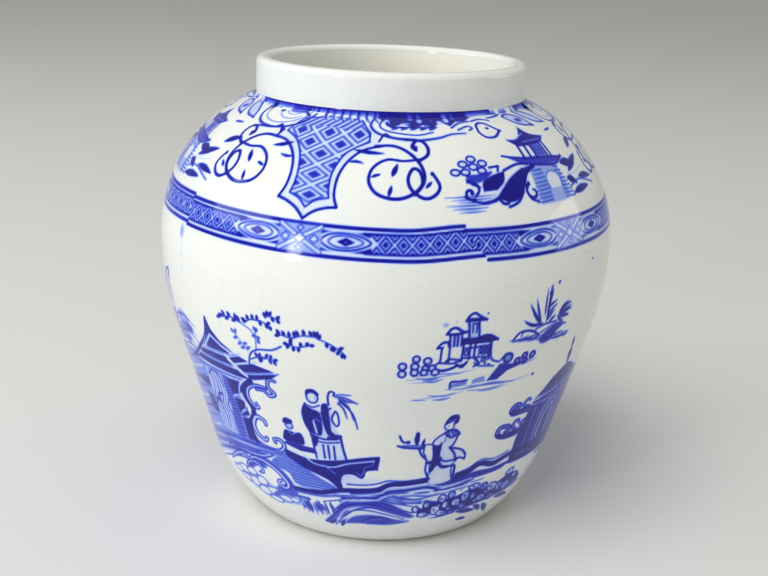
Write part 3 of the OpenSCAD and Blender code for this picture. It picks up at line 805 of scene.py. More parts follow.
def shallows(ink):
    """Waves, curls, tufts and round bushes along the bottom of the scene."""
    ink.line(curve((-17, 9.6), (-12.6, 14), (-9, 19), (-3, 20.4), (3, 19), (9, 15.4), (11.6, 14.2)), 4.4, 0.5, (0.4,
                                                                                                                0.3),
             soft=0.8)
    ink.shape(0.55, (-13, 9.8), (-8, 13.6), (-2, 15.2), (5, 13.6), (11, 12), (4, 10.4), (-6, 10.6), soft=0.9)
    ink.shape(0.62, (-6, 23.4), (2, 23.2), (8, 20.6), (14, 19.8), (19, 20), (14, 21.6), (8, 23), (2, 24.8))
    ink.pens(
        (0.7, 0.06, (-16.4, 7.8), (-13, 12), (-10, 16.6), (-5, 18.4), (0, 17.8), (5, 15.4), (10.6, 13)),
        (0.6, 0.06, (-12.4, 8), (-9.4, 12.4), (-5.4, 15.8), (-1, 16), (4, 14.2), (10, 12)),
        (0.8, 0.06, (-14.6, 14.6), (-11.6, 18.4), (-8.6, 21.2), (-3, 22), (3, 21.4), (8, 18.6), (12, 17.6)),
        (0.5, 0.95, (-17.6, 9.4), (-13.8, 14), (-10.4, 18.2), (-5, 20), (0, 19.6), (6, 17), (11, 15)),
        (0.45, 0.85, (-14.4, 8.2), (-11.4, 12.6), (-8, 16.4), (-3, 17.2), (3, 15.6), (9, 13.2)),
        (0.45, 0.9, (-17, 19), (-12, 20.6), (-7, 22.6), (-2, 22.8), (4, 22.2), (9, 20)),
        (0.5, 0.08, (4, 23.6), (9, 21.6), (15, 21.4), (20, 22.4)),
        taper=(0.5, 0.5))
    ink.pens(
        (0.9, 0.5, (-10.4, 22.4), (-6, 24), (0, 24.4), (6, 22.6), (12, 22), (18, 23)),
        (1.1, 0.55, (-11.6, 20), (-7, 22.4), (-1, 22.6), (5, 20.8), (11, 19)),
        (0.5, 0.05, (-9.8, 21.2), (-5, 23.2), (1, 23.4), (7, 21.6), (13, 20.4)),
        (0.9, 0.7, (-13.6, 16), (-9.6, 20), (-4, 21.2), (2, 20.4), (8, 17.4), (11.6, 16)),
        (0.8, 0.6, (-10.6, 13.4), (-7, 17), (-2, 18.6), (3, 17), (10.8, 13.8)),
        (0.9, 0.85, (-5, 11.6), (-2.4, 13.6), (1.6, 14.2), (5, 13)),
        (0.5, 0.9, (-3, 10.6), (0, 12), (4, 12)),
        (1.1, 0.6, (-8, 24), (-2, 25.4), (4, 25.6), (11, 26.6), (19, 27), (30, 26.8)),
        (0.6, 0.8, (-2, 23.6), (6, 24.8), (14, 24.6), (22, 25.2), (34, 26)),
        (0.9, 0.45, (2, 22.8), (10, 23.6), (16, 23), (24, 24), (32, 24.6)),
        taper=(0.5, 0.4))
    ink.leaf((-16.6, 8.6), (-13.4, 11.2), 1.6, 0.9)
    ink.leaf((-12.2, 8), (-10.8, 11.6), 1.2, 0.9)
    rng = np.random.default_rng(11)
    for t, z, n in ((-24.4, 17.2, 9), (-21.4, 17, 7), (-18.6, 17.6, 7), (-15.6, 18, 6)):
        for _ in range(n):
            a = t + rng.uniform(-1.4, 1.4)
            ink.line(curve((a, z + rng.uniform(-0.5, 1.4)), (a + 0.5, z - 2), (a + 0.9, z - rng.uniform(2.6, 5.4))),
                     0.45, rng.uniform(0.55, 0.95), (0.6, 0.4))
    # the bank under the pavilion
    ink.shape(0.45, (-70, 20), (-60, 24), (-50, 27.4), (-44, 29), (-38, 31), (-27, 34.4), (-33, 36), (-44, 35.6),
              (-56, 33), (-72, 29), soft=1.2)
    for i, (tone, w) in enumerate(((0.75, 0.6), (0.12, 0.8), (0.6, 0.7), (0.1, 0.9), (0.8, 0.5), (0.15, 0.7),
                                   (0.6, 0.6))):
        z = 35.2 - i * 1.25
        ink.pen(w, tone, (-72, z - 9 - i * 0.6), (-60, z - 4.4 - i * 0.3), (-48, z - 1.4), (-38, z - 0.2),
                (-31 - i, z + 0.2), taper=(0.6, 0.3))
    # curls at the left
    ink.shape(0.5, (-44.6, 26.4), (-41, 29.4), (-35, 30.6), (-30.4, 28.4), (-27, 24.4), (-25.6, 20), (-28, 17.6),
              (-32, 17), (-36, 14), (-37, 17), (-33, 20.4), (-29.6, 23), (-31, 26.4), (-36, 27.6), (-40, 26.8),
              soft=0.7)
    volute(ink, [(-44.4, 25.4), (-42, 28.4), (-38, 29.2), (-34, 28.2), (-30.6, 25.8), (-28.6, 22.8), (-29.6, 20.8),
                 (-31.8, 21.2), (-32.2, 22.8), (-30.8, 23.6)], 1.0, 0.35, 0.85)
    volute(ink, [(-37.6, 32.4), (-33, 33), (-36.6, 31.2), (-42, 30.4), (-48, 30), (-54, 28)], 0.8, 0.5, 0.75, 0.15)
    volute(ink, [(-55, 23), (-50, 26.6), (-46, 28.4), (-43.6, 27)], 0.8, 0.5, 0.7, 0.12)
    ink.shape(0.55, (-46, 24.4), (-42.4, 27.6), (-37.6, 28), (-36, 26.4), (-40, 26), (-43.6, 23.6), soft=0.7)
    volute(ink, [(-46, 22.4), (-44.6, 25.4), (-41.4, 27), (-38.6, 26.2), (-38.2, 24.2), (-39.8, 23.6)], 0.7, 0.4, 0.8)
    ink.shape(0.2, (-56, 20), (-49, 23), (-43, 23), (-37, 20.6), (-31, 18), (-25, 17), (-25, 15), (-31, 13.6),
              (-37, 12.4), (-44, 14.4), (-51, 17), soft=1.2)
    for t, z, rx, ry in (
            (-52, 20, 1.9, 1.4), (-48, 21.4, 2.0, 1.7), (-48.6, 17.8, 2.0, 1.5), (-44.2, 22, 1.8, 1.5),
            (-44, 18.2, 2.0, 1.8), (-40, 19.8, 1.9, 1.8), (-40, 15.8, 2.1, 1.6), (-35.8, 17.4, 1.9, 1.6),
            (-35.6, 13.9, 1.9, 1.2), (-31.4, 15.8, 1.8, 1.4), (-27.6, 16.4, 1.4, 1.0)):
        ink.lump((t, z), rx * 1.35, ry * 1.15, 0.03, rng, 0.45, rng.uniform(0.35, 0.6))
    for a, b in (((-54, 33.4), (-40, 34.4)), ((-56, 31), (-41, 32.2)), ((-58, 28.6), (-46, 30.4))):
        ink.line([a, b], 1.0, 0.5, (0.4, 0.4))
    ink.pen(1.4, 0.5, (-36, 15.4), (-33, 18), (-28.6, 18.6), (-22, 18.8))
    # round bushes at the right, white against dark gaps
    ink.shape(0.95, (13, 15.6), (16, 19), (20, 20.4), (25, 21), (31, 22.8), (38, 21.2), (46, 23.6), (52, 21.8),
              (53, 18), (46, 16.6), (38, 15.4), (28, 15), (20, 14.6), soft=0.6)
    for t, z, rx, ry, fill in (
            (12.8, 17.4, 1.5, 2.2, 0.08), (15.4, 14.6, 1.6, 1.7, 0.12), (16, 19.2, 1.3, 2.1, 0.2),
            (18.4, 16.4, 1.3, 2.3, 0.06), (20, 21, 1.5, 2.2, 0.1), (21.4, 14.4, 1.6, 1.5, 0.15),
            (22.6, 18, 1.1, 2.2, 0.08), (24, 22, 1.3, 1.6, 0.35), (25.6, 18.4, 1.3, 2.1, 0.12),
            (25.2, 14.2, 1.5, 1.2, 0.2), (28.4, 20.4, 1.2, 2.0, 0.3), (29, 16, 1.2, 1.8, 0.45),
            (30.8, 23.6, 1.7, 1.5, 0.08), (32, 19.6, 1.3, 1.9, 0.3), (34.6, 22.4, 1.3, 1.7, 0.45),
            (35.6, 17.6, 1.4, 1.9, 0.3), (38.6, 21, 1.5, 1.9, 0.25), (40, 16.4, 1.5, 1.7, 0.5),
            (42.6, 20, 1.4, 2.0, 0.3), (45.6, 24.6, 1.7, 1.5, 0.2), (46.4, 18.6, 1.5, 2.0, 0.4),
            (50, 22, 1.6, 1.9, 0.25), (52.6, 17.6, 1.6, 1.8, 0.4)):
        size = rng.uniform(0.85, 1.4)
        ink.lump((t + rng.uniform(-0.5, 0.5), z), rx * size, ry * size * rng.uniform(0.65, 0.95), fill * 0.6, rng)
        ink.line(curve((t - 0.3, z + 0.4), (t + 0.5, z), (t + 0.2, z - 0.8)), 0.4, rng.uniform(0.3, 0.9))
    for t, z in ((14.2, 20.4), (17.2, 13.6), (19.8, 18), (23.6, 16), (27, 17.2), (26.6, 23.4), (33.4, 17), (37, 19.6)):
        ink.dot((t, z), 0.6, 0.7, 0.2)
    for a, b, w in (
            ((27, 13.6), (36, 11.4), 2.6), ((34, 14.6), (38.6, 10.4), 2.0), ((38, 14), (43, 8), 2.2),
            ((29, 9), (34, 8), 2.0), ((43, 15), (52, 12.6), 2.4)):
        ink.leaf(a, b, w, 0.95, 0.4)
    for a, b in (((18, 12.4), (27, 13.4)), ((22, 14.2), (34, 15)), ((40, 16), (54, 16.6))):
        ink.line([a, b], 0.8, 0.8, (0.3, 0.3))


def island_houses(ink):
    """The far island: two towers, a long low house, round trees and the water lines around it."""
    ink.fill([(17.6, 80.4), (18.6, 80), (24.4, 80.4), (26.8, 78.8), (24.6, 78.2), (17.4, 78.4)], 1)
    ink.pen(0.7, 1, (17.4, 80), (21, 80), (24, 80.6), (26.6, 78.8))
    for a, b in (
            ((18.2, 78.4), (18, 73)), ((19.8, 78.4), (19.8, 73.4)), ((21, 78.4), (21, 74)),
            ((24.8, 78.4), (24.8, 72.6))):
        ink.line([a, b], 0.55, 0.95)
    ink.line([(18.2, 77), (24.8, 77.2)], 0.5, 0.85)
    ink.line([(18, 74), (24.8, 73.6)], 0.5, 0.85)
    ink.inlay([(22, 77.6), (24.6, 77.6), (24.6, 74.4), (22, 74.4)],
              lambda t, z: lattice(t, z, 23.3, 1.3, 1.6, (76, (1, 0.25)), 1, 0.15))
    ink.ring((19, 75.6), 0.55, 0.9, 0.4, 0.95, 0.05)
    ink.pen(0.6, 0.95, (21.2, 73.6), (22.4, 71.8), (21.4, 70.8))
    ink.ring((23.6, 72.6), 0.7, 0.6, 0.45, 0.9, 0.1)
    # the taller tower
    ink.fill([(18.4, 85.6), (19, 80.2), (21.6, 80.2), (21.6, 85.4)], 0.12)
    for a, b in (
            ((18.9, 85.4), (19.3, 80.2)), ((21.3, 85.4), (21.7, 80.4)), ((19.9, 84.6), (20, 81.8)),
            ((20.9, 84.6), (20.9, 81.8))):
        ink.line([a, b], 0.55 if a[0] in (18.9, 21.3) else 0.35, 0.95)
    ink.line([(19.9, 84.6), (20.9, 84.6)], 0.35, 0.9)
    ink.pen(0.6, 1, (18.2, 85.6), (19, 87.2), (20.2, 87.8), (21.4, 86.8), (23, 85.6), (23, 85.6), (21, 85.6),
            (18.2, 85.6))
    ink.line([(18.6, 86.2), (21.8, 86)], 0.5, 0.9)
    # the shorter tower
    ink.fill([(14.6, 82), (14.8, 77.8), (17.8, 78), (17.6, 82)], 0.12)
    for t in (14.8, 15.8, 16.6, 17.5):
        ink.line([(t, 81.8), (t + 0.1, 78)], 0.45, 0.95)
    ink.pen(0.65, 1, (14, 81.9), (15, 83.5), (16.2, 83.7), (17.4, 82.6), (18.4, 82.2), (18.4, 82.2), (16, 81.7),
            (14, 81.9))
    # the low house and its ground
    ink.pen(0.6, 1, (12.1, 77.6), (13.2, 79.2), (14.6, 79.4), (14.6, 79.4), (14.8, 78))
    ink.line([(12.1, 77.6), (13.4, 77.8)], 0.5, 0.95)
    for a, b in (
            ((13.2, 77.6), (13, 72.8)), ((15, 78.4), (15, 72.6)), ((15, 74), (14.2, 72.8)), ((15, 74), (17.6, 73.4))):
        ink.line([a, b], 0.5, 0.95)
    ink.pens(
        (0.5, 0.9, (13, 73), (12, 72.2), (11.8, 71.4)),
        (0.45, 0.9, (13, 72.8), (15.6, 72.4), (17.2, 72.8), (18.2, 73.2)),
        (0.75, 0.95, (11.6, 70.6), (14, 70.2), (16, 70.8), (17.4, 71.6), (18.4, 71), (19.4, 72.4)),
        (0.5, 0.9, (16.8, 72.2), (17.6, 71.4), (18.6, 71.8)),
        (0.5, 0.9, (25, 78), (25.4, 73.6), (26.2, 72), (28, 71.2)),
        (0.45, 0.8, (21.4, 72), (22.6, 70.8), (25, 70.4), (26.6, 70)))
    for t, z in ((22.6, 71.6), (24.2, 71.4), (25.2, 70.8)):
        ink.dot((t, z), 0.4, 0.4, 0.9)
    # round trees
    for t, z, r in (
            (4.6, 71.9, 1.1), (4.6, 69.4, 1.1), (7.6, 74.3, 1.0), (7.4, 71.9, 1.1), (7.4, 69.9, 1.1),
            (10.2, 73.6, 1.1), (9.8, 71.2, 0.9), (9.6, 69.8, 1.0), (11.4, 71.2, 1.0), (12.2, 69.8, 1.1)):
        ink.ring((t, z), r, r * 1.02, 0.5, 0.92, 0.08)
    for t, z, r in ((30.4, 71.9, 1.5), (33.4, 70.2, 1.0), (35.4, 71.5, 0.95), (35.7, 69.7, 0.9), (37.9, 71.2, 1.05)):
        ink.ring((t, z), r, r, 0.62, 0.95, 0.3)
    ink.pen(0.5, 0.9, (28.4, 71.6), (29.6, 73.4), (31.2, 73))
    # the near bank and the water
    ink.hatch([(25.6, 65), (28.4, 70.4), (32, 69.6), (38.4, 69.8), (31, 67.6), (28.6, 65)], 2.4, 0.95, 0.6, 1, 0.3)
    ink.hatch([(16.2, 63.8), (16.4, 66), (20.4, 66.2), (20.4, 64.6)], 1.2, 0.95, 0.4, 0.85)
    ink.hatch([(21.6, 64.6), (21.8, 66.2), (24.6, 67), (25.4, 65)], 1.6, 0.9, 0.4, 0.75)
    ink.pen(0.5, 0.9, (16.3, 63.8), (16.4, 66), (18.4, 66), (20.4, 66.2))
    ink.pens(
        (0.35, 0.5, (7, 68.4), (12, 69), (17, 69), (22, 69.6)),
        (0.35, 0.42, (5.6, 67.2), (9, 67.6), (14, 68.2), (19, 68.9)),
        (0.7, 0.45, (8, 67.9), (11, 67.3), (13.4, 67.8)),
        (0.3, 0.35, (6, 66.2), (10, 66.4), (14, 67.2)),
        (0.55, 0.42, (9.4, 66.8), (12, 66.4), (14.6, 67.4)),
        (0.5, 0.5, (15, 63.4), (20, 63.2), (27, 64), (33, 63.2), (39, 63.8)),
        (0.4, 0.55, (20, 64.2), (26, 63.6), (34, 63)),
        (0.45, 0.5, (21, 62.4), (26, 62), (31, 62.6)),
        (0.35, 0.45, (24, 61.4), (28, 61.6), (32, 62.4)),
        (0.35, 0.4, (8, 60.3), (12, 61), (17, 61.6), (20, 62.4)),
        (0.5, 0.45, (11, 61.8), (15, 61.2), (18, 62.2)),
        (0.75, 0.42, (12.4, 60), (15, 60), (17, 60.6)),
        (0.25, 0.6, (7, 60.1), (11, 60)),
        (0.3, 0.45, (35, 68.4), (38, 69), (40, 69.4)),
        taper=(0.3, 0.2))
    ink.dot((40.2, 63.6), 0.55, 0.45, 0.95)
    ink.dot((23.3, 87.4), 0.35, 0.35, 0.6)
    ink.cloud((13.6, 84.8), 0.9, 0.7, 0.22, 0.6)
    ink.dot((16, 85.6), 0.3, 0.25, 0.35)


def palm_islet(ink):
    """The small islet with long-leaved plants."""
    for a, b, w, bend in (
            ((38.4, 80.8), (34.4, 88.4), 0.9, 0.25), ((38.6, 81), (36.2, 89.6), 0.8, 0.18),
            ((38.2, 81), (33, 83.6), 0.9, 0.9), ((38.6, 80.8), (34.4, 82), 0.9, 0.3),
            ((40.2, 80.4), (40.6, 92.6), 1.0, -0.1), ((40, 85), (43.2, 87.6), 0.8, 0.5),
            ((40.2, 81.4), (42.6, 84.8), 0.8, 0.2), ((39.4, 83), (39.5, 92), 0.6, 0.05),
            ((44, 82), (49.2, 85.4), 1.1, 1.1), ((44.2, 81.8), (49.6, 83.2), 1.1, 0.7),
            ((44.4, 81.4), (48.8, 81.2), 1.1, 0.4), ((44, 82), (46.6, 79.8), 0.8, -0.3)):
        ink.leaf(a, b, w, 0.95, bend)
    for a, b, w, bend in (
            ((38.8, 81), (35.6, 86), 0.7, 0.2), ((40.4, 86.6), (41.2, 92), 0.7, -0.2),
            ((40.6, 83.4), (43.4, 86.4), 0.7, 0.4), ((39.6, 81), (36.2, 81.4), 0.7, 0.2),
            ((44.2, 82), (47.6, 86.2), 0.9, 0.8), ((44, 81.6), (49.4, 84.4), 0.7, 0.6),
            ((41, 80.6), (43.4, 82.6), 0.9, 0.3)):
        ink.leaf(a, b, w, 0.97, bend)
    ink.pens(
        (0.4, 0.9, (40.2, 90), (41, 92.6)),
        (0.6, 0.95, (30.8, 77.6), (32.4, 79.6), (34.6, 79.8), (36.4, 79.2), (38.4, 77.6)),
        (0.4, 0.8, (33, 78.2), (33.4, 79.4)),
        (0.45, 0.85, (37, 79.6), (40, 80.6), (44, 80.6)),
        (0.4, 0.8, (38.6, 78), (41, 79), (44, 79.8), (48, 78.6)))
    ink.shape(0.7, (40.6, 78), (44, 79.6), (47, 79), (44.6, 77), (42.4, 74.6), (40, 74.4), (39, 76), soft=0.8)
    rng = np.random.default_rng(5)
    for i in range(22):
        t, z = 29.6 + i * 0.78, 77.3 - 0.13 * i + rng.uniform(-0.6, 0.6)
        ink.line(curve((t, z), (t + 3, z - 0.3 + 0.5 * (i % 3)), (t + rng.uniform(4, 6), z + 0.5)), 0.35,
                 rng.uniform(0.55, 1), (0.3, 0.3))
    ink.dot((43.2, 93), 0.5, 0.5, 0.9)
    ink.dot((57.5, 96.4), 0.8, 0.35, 0.45)


def lady_with_tray(ink):
    """A walking figure in a long robe carrying a tray."""
    ink.shape(0.06, (16, 47.4), (18, 48.4), (21, 47), (21, 42), (24.6, 38.6), (22.6, 36), (22.4, 29), (15.2, 28),
              (14.6, 36), (15, 43))
    ink.pen(0.4, 1, (14.6, 42.6), (15.8, 42.4), (16.8, 43.4), (16.8, 43.4), (16.8, 38), (18, 34.4), (18, 34.4),
            (16, 35.4), (15.2, 33), (14.2, 35), (15.2, 38), (14.6, 42.6))
    ink.fill([(14.6, 42.6), (16.6, 43), (16.7, 38), (17.6, 35), (19.6, 33.8), (20.4, 34.6), (18.4, 34.8), (17, 36),
              (15.6, 33.6), (15, 36), (15.1, 39)], 1)
    ink.pen(1.2, 1, (13.4, 36.6), (15, 36.4), (15.4, 35.4), (14.6, 33.2), (14.4, 29), taper=(0.7, 0.4))
    ink.pens(
        (0.45, 0.95, (13.4, 36.4), (13.3, 34), (14, 31.6), (15, 29.8)),
        (0.4, 0.05, (14, 35.6), (14.4, 32.6), (15, 30.6)))
    ink.pen(0.7, 1, (17.2, 35.2), (18.6, 34), (21.6, 34.4), (22.2, 33), (22.2, 29), taper=(0.8, 0.9))
    ink.pens(
        (0.35, 0.85, (21.5, 35.6), (21.2, 33), (21.8, 29.4)),
        (0.55, 1, (19.4, 41.8), (20, 41.2), (21.4, 41), (23.4, 40), (24.7, 38), (24.7, 36.4), (24.7, 36.4), (23, 37.2),
         (21.6, 36.8)),
        (0.55, 1, (19.8, 41), (21, 39.4), (21.7, 37.4), (22, 36)),
        (0.5, 1, (17.2, 38), (18.2, 36.6), (20, 36.4), (22.6, 36.8)),
        (0.5, 1, (17.2, 38.2), (17, 36.4), (18, 34.6)))
    ink.leaf((19.2, 41.9), (20.6, 40.8), 0.9, 1)
    ink.pens(
        (0.5, 0.95, (21.2, 46.4), (20.8, 44.2), (20.2, 42.4), (19.8, 41.8)),
        (0.45, 0.95, (17.4, 47.4), (16, 46.4), (14.8, 45), (14.4, 43.4), (15.6, 42.6)),
        (0.3, 0.6, (17.8, 45.6), (17.6, 44)))
    ink.shape(0.5, (17.4, 47.4), (19, 48), (20.4, 48.2), (21.6, 46.4), (20.2, 46), (19, 45.4), (17.6, 46.4))
    ink.pen(0.5, 0.98, (17.2, 47.4), (18.6, 48.2), (20.2, 48.2), (21.6, 46.4), (20.4, 46), (19.4, 45.4), (17.8, 46.6))
    ink.line([(18.8, 47.2), (19.4, 45.8)], 0.45, 0.1)
    ink.shape(0.98, (16.8, 50.4), (17.4, 52.6), (18.6, 53.8), (20.2, 53.6), (20.6, 51.6), (19.8, 50.4), (19.2, 51.4),
              (18, 51))
    ink.pens(
        (0.4, 0.2, (17.8, 52.2), (19, 51.6), (19.6, 52.4)),
        (0.35, 0.9, (17, 50.8), (16.9, 49.6), (17.6, 48.6), (18.8, 48.4), (19.4, 49.4), (19.4, 50.8)))
    ink.dot((17.9, 49.9), 0.18, 0.18, 0.8)
    # the tray and what stands on it
    ink.shape(0.35, (5.2, 43.4), (7, 42.4), (10, 42.2), (12, 42), (12.2, 43.2), (10, 43.6))
    ink.pen(0.55, 0.98, (4.9, 43.5), (6.4, 42.8), (9, 42.4), (11.6, 42.2), (12.2, 43))
    ink.line([(6, 43.6), (10.4, 43.6)], 0.3, 0.6)
    ink.leaf((10.1, 43.2), (9.9, 48.8), 1.5, 1, 0.1)
    ink.dot((10, 47.4), 0.65, 1.0, 1)
    ink.dot((7.6, 44.7), 0.75, 0.6, 0.95)
    ink.pen(0.6, 0.9, (5.3, 47.2), (5.9, 45.4), (6.7, 44.6))
    ink.leaf((12, 45.9), (11.4, 42.6), 0.9, 0.95)
    ink.pens(
        (0.4, 0.85, (11.6, 43.4), (12.8, 43.6), (14.2, 43.5)),
        (0.55, 0.95, (10.8, 42), (11.6, 39.8), (12.8, 38.2), (13.4, 37.4)),
        (0.4, 0.85, (12.2, 42.4), (12.2, 40.4), (13, 38.8)))


def right_pagoda(ink):
    """The big domed house at the right and the scrolls at its corner."""
    ink.fill([(44.6, 28.6), (44.6, 50), (50, 53.4), (72, 53.4), (104, 48), (104, 26), (70, 27)], 0.62, 1.0)
    ink.fill(curve((44.6, 50.2), (44.6, 50.2), (43, 41), (42.6, 38), (42.8, 32), (42.8, 32), (48.6, 31), (49.2,
                                                                                                          50.4)), 0.8)
    ink.line([(45.6, 49.4), (45.8, 42), (45.4, 33)], 0.8, 1)
    ink.line([(47.4, 49.6), (47.4, 33)], 0.8, 0.42)
    ink.line([(49, 50), (49, 31.6)], 1.5, 1)
    # the screen with a pale arch
    ink.fill([(50.6, 33), (50.4, 49.6), (62, 49.6), (62.4, 33)], 0.75)
    ink.pens(
        (1.0, 0.3, (52.2, 34.4), (51.6, 42), (53, 48), (57, 49), (60.4, 46), (61, 34.4)),
        (0.8, 0.15, (54, 35), (53.8, 42), (55.4, 46.4), (58, 46), (59, 35)),
        (0.6, 1, (55.8, 36), (55.6, 41), (56.4, 43.6)))
    for t in (64, 78, 92):
        ink.fill([(t, 32), (t, 50), (t + 3.6, 50), (t + 3.6, 32)], 1)
        ink.inlay([(t + 4.4, 33.6), (t + 4.4, 49.6), (t + 13.2, 49.6), (t + 13.2, 33.6)],
                  lambda u, z, t=t: lattice(u, z, t + 8.8, 2.2, 2.7, (41.6, (1, 0.2)), 0.95, 0.2))
    # eaves and dome
    ink.fill(curve((45, 52.6), (45, 52.6), (47.6, 55), (50.6, 58.4), (55, 60.8), (57.6, 61.4), (61, 60), (67, 57),
                   (76, 55.8), (90, 55.4), (102, 56.4), (112, 60.4), (112, 60.4), (106, 53), (80, 52)), 1)
    ink.pens(
        (0.45, 0.3, (48, 53.8), (52, 54.2), (58, 54.8), (70, 54)),
        (0.9, 0.22, (46.4, 52.8), (52, 53), (60, 53.6), (76, 52.2), (102, 53)),
        (0.7, 1, (45, 51.4), (52, 51.8), (60, 52.4), (76, 51), (104, 51)),
        (0.6, 0.3, (44.6, 50.4), (52, 50.4), (60, 51), (76, 49.8), (104, 49.8)))
    ink.leaf((54.8, 71.8), (55.6, 67.4), 1.5, 0.9, 0.1)
    ink.leaf((55.2, 68.4), (56.6, 61), 2.1, 0.95, 0.1)
    ink.dot((55.6, 65.8), 1.1, 1.0, 0.9)
    for i in range(4):
        ink.pen(0.6, 0.3, (70 + i * 7, 57.4), (71 + i * 7.4, 55.6), (73 + i * 8, 53.6))
    # the base
    ink.fill([(42.6, 28.8), (42.8, 33), (50, 33.6), (76, 32.4), (104, 31), (104, 27), (70, 27.6)], 1)
    ink.pen(0.5, 0.3, (46, 31.4), (56, 31.2), (76, 30), (104, 28.8))
    # scrolls at the corner
    volute(ink, [(45, 49.6), (41, 49.4), (38, 49.6), (36.8, 51.2), (37.6, 52.8), (39.4, 52.6), (39.4, 51.2),
                 (38.2, 51)],
           0.8, 0.5, 1, 0.35)
    ink.shape(0.85, (36.6, 50.6), (38, 49.4), (42, 49.4), (45, 50.4), (42, 51), (39.4, 50.6))
    volute(ink, [(43.6, 51), (42.2, 51.2), (41, 52.4), (42.2, 53.8), (43.4, 53.2)], 0.6, 0.4, 0.9, 0.3)
    volute(ink, [(43.4, 41.4), (39, 41), (35.4, 41.8), (34, 43.6), (34.8, 45.4), (37.4, 45.2), (38.2, 43.8),
                 (36.8, 43.2)],
           0.9, 0.5, 1, 0.35)
    ink.shape(0.9, (33.8, 43), (35.6, 41.2), (39.4, 40.8), (43, 41.6), (40, 42.8), (36.4, 42.4))
    volute(ink, [(44.4, 43), (41.8, 42.6), (39.6, 44), (39.6, 46.2), (41, 46.6), (41.4, 45.4)], 0.5, 0.4, 0.95, 0.3)
    volute(ink, [(45, 44.4), (43, 43.8), (42.6, 45.2), (43.8, 46)], 0.4, 0.4, 0.9, 0.3)
    ink.line([(40.6, 49.2), (44.6, 48.6)], 0.6, 0.9)


def willow_side(ink):
    """The far side of the sheet: a big tree behind the house, a fence and a few birds."""
    ink.pen(2.6, 1, (104, 27), (103, 40), (106, 54), (103, 66), (106, 76), taper=(1, 0.5))
    ink.pens(
        (1.3, 1, (105, 58), (99, 66), (94, 69)),
        (1.2, 1, (105, 62), (110, 70), (114, 72)),
        (0.9, 1, (106, 76), (100, 82), (92, 84)),
        (0.9, 1, (106, 76), (109, 83), (114, 86)),
        taper=(1, 0.4))
    rng = np.random.default_rng(3)
    for t, z in (
            (94, 69), (97, 68), (100, 66), (92, 84), (95, 83.4), (98, 82.6), (102, 80), (108, 82), (111, 84.6),
            (114, 86), (112, 71), (114.6, 72), (104, 78), (109, 69)):
        for _ in range(3):
            a = (t + rng.uniform(-1.2, 1.2), z)
            drop = rng.uniform(7, 13)
            stem = curve(a, (a[0] - 1, z - drop * 0.5), (a[0] - 0.4, z - drop))
            ink.line(stem, 0.25, 0.7)
            for share in np.linspace(0.1, 1, 7):
                p = stem[int(share * (len(stem) - 1))]
                ink.leaf(p, (p[0] + rng.uniform(-0.8, 0.8), p[1] - 1.9), 0.6, rng.uniform(0.5, 0.95))
    for t in np.arange(66, 112, 4.4):
        ink.line([(t, 19), (t, 26)], 0.7, 0.95)
        ink.line([(t, 25), (t + 4.4, 20)], 0.35, 0.85)
        ink.line([(t, 20), (t + 4.4, 25)], 0.35, 0.85)
    ink.line([(60, 26), (114, 26)], 0.6, 0.95)
    ink.line([(60, 19), (114, 19)], 0.6, 0.95)
    for t, z in ((76, 86), (82, 90), (86, 78)):
        ink.leaf((t, z), (t + 3.4, z + 2), 0.9, 0.9, 0.5)
        ink.leaf((t, z), (t + 0.6, z + 3.2), 0.8, 0.9, -0.4)
        ink.leaf((t - 1, z - 0.6), (t + 2.2, z - 0.8), 0.9, 0.9)
    for i in range(10):
        z = 16.4 - i * 0.9
        ink.pen(0.6, 0.75 - 0.06 * i, (56 + i * 2, z), (76, z - 0.6 + (i % 2)), (96, z + 0.4), (114 - i, z),
                taper=(0.3, 0.3))


def haze_trees(ink):
    """Pale foliage behind the pavilion, running round to the seam."""
    for t, z, rx, ry, tone in (
            (-60, 71, 4.6, 3.2, 0.35), (-57, 69.4, 2.6, 1.5, 0.75), (-62, 65.6, 5.6, 2.4, 0.5),
            (-59.6, 72.6, 3, 1.2, 0.2)):
        ink.cloud((t, z), rx, ry, tone)
    for i in range(7):
        z = 73.6 - i * 1.7
        ink.pen(0.6, (0.75, 0.2, 0.5)[i % 3], (-67, z - 3), (-62, z - 1.2), (-58, z - 0.6), (-53, z - 2.4),
                taper=(0.3, 0.3))


def scene_sheet(ink):
    """Everything printed on one of the two sheets round the belly."""
    for motif in (
            haze_trees, willow_side, right_pagoda, pavilion, blossom_tree, shallows, terrace_boat, man_with_bird,
            island_houses, palm_islet, lady_with_tray):
        motif(ink)


def seam_smear(ink):
    """Where a sheet was laid on damp: a pale run of colour beside the seam."""
    ink.cloud((-56, 101), 1.0, 1.8, 0.3, 2.0)
    for z, w in ((97.5, 0.9), (94, 1.1), (90, 0.8)):
        ink.cloud((-55.4, z), w * 0.7, 1.6, 0.09, 1.6)


def draw_prints():
    """The whole printed drawing, laid down sheet by sheet."""
    ink = Print()
    for strip in STRIPS:
        border_strip(ink, *strip)
    for draw, turns in ((shoulder_sheet, (0, 120, 240)), (scene_sheet, (0, 180)), (seam_smear, (0, 180))):
        for turn in turns:
            ink.turn = turn
            draw(ink)
    ink.settle()
    return ink


# ---------------------------------------------------------------- the pieces



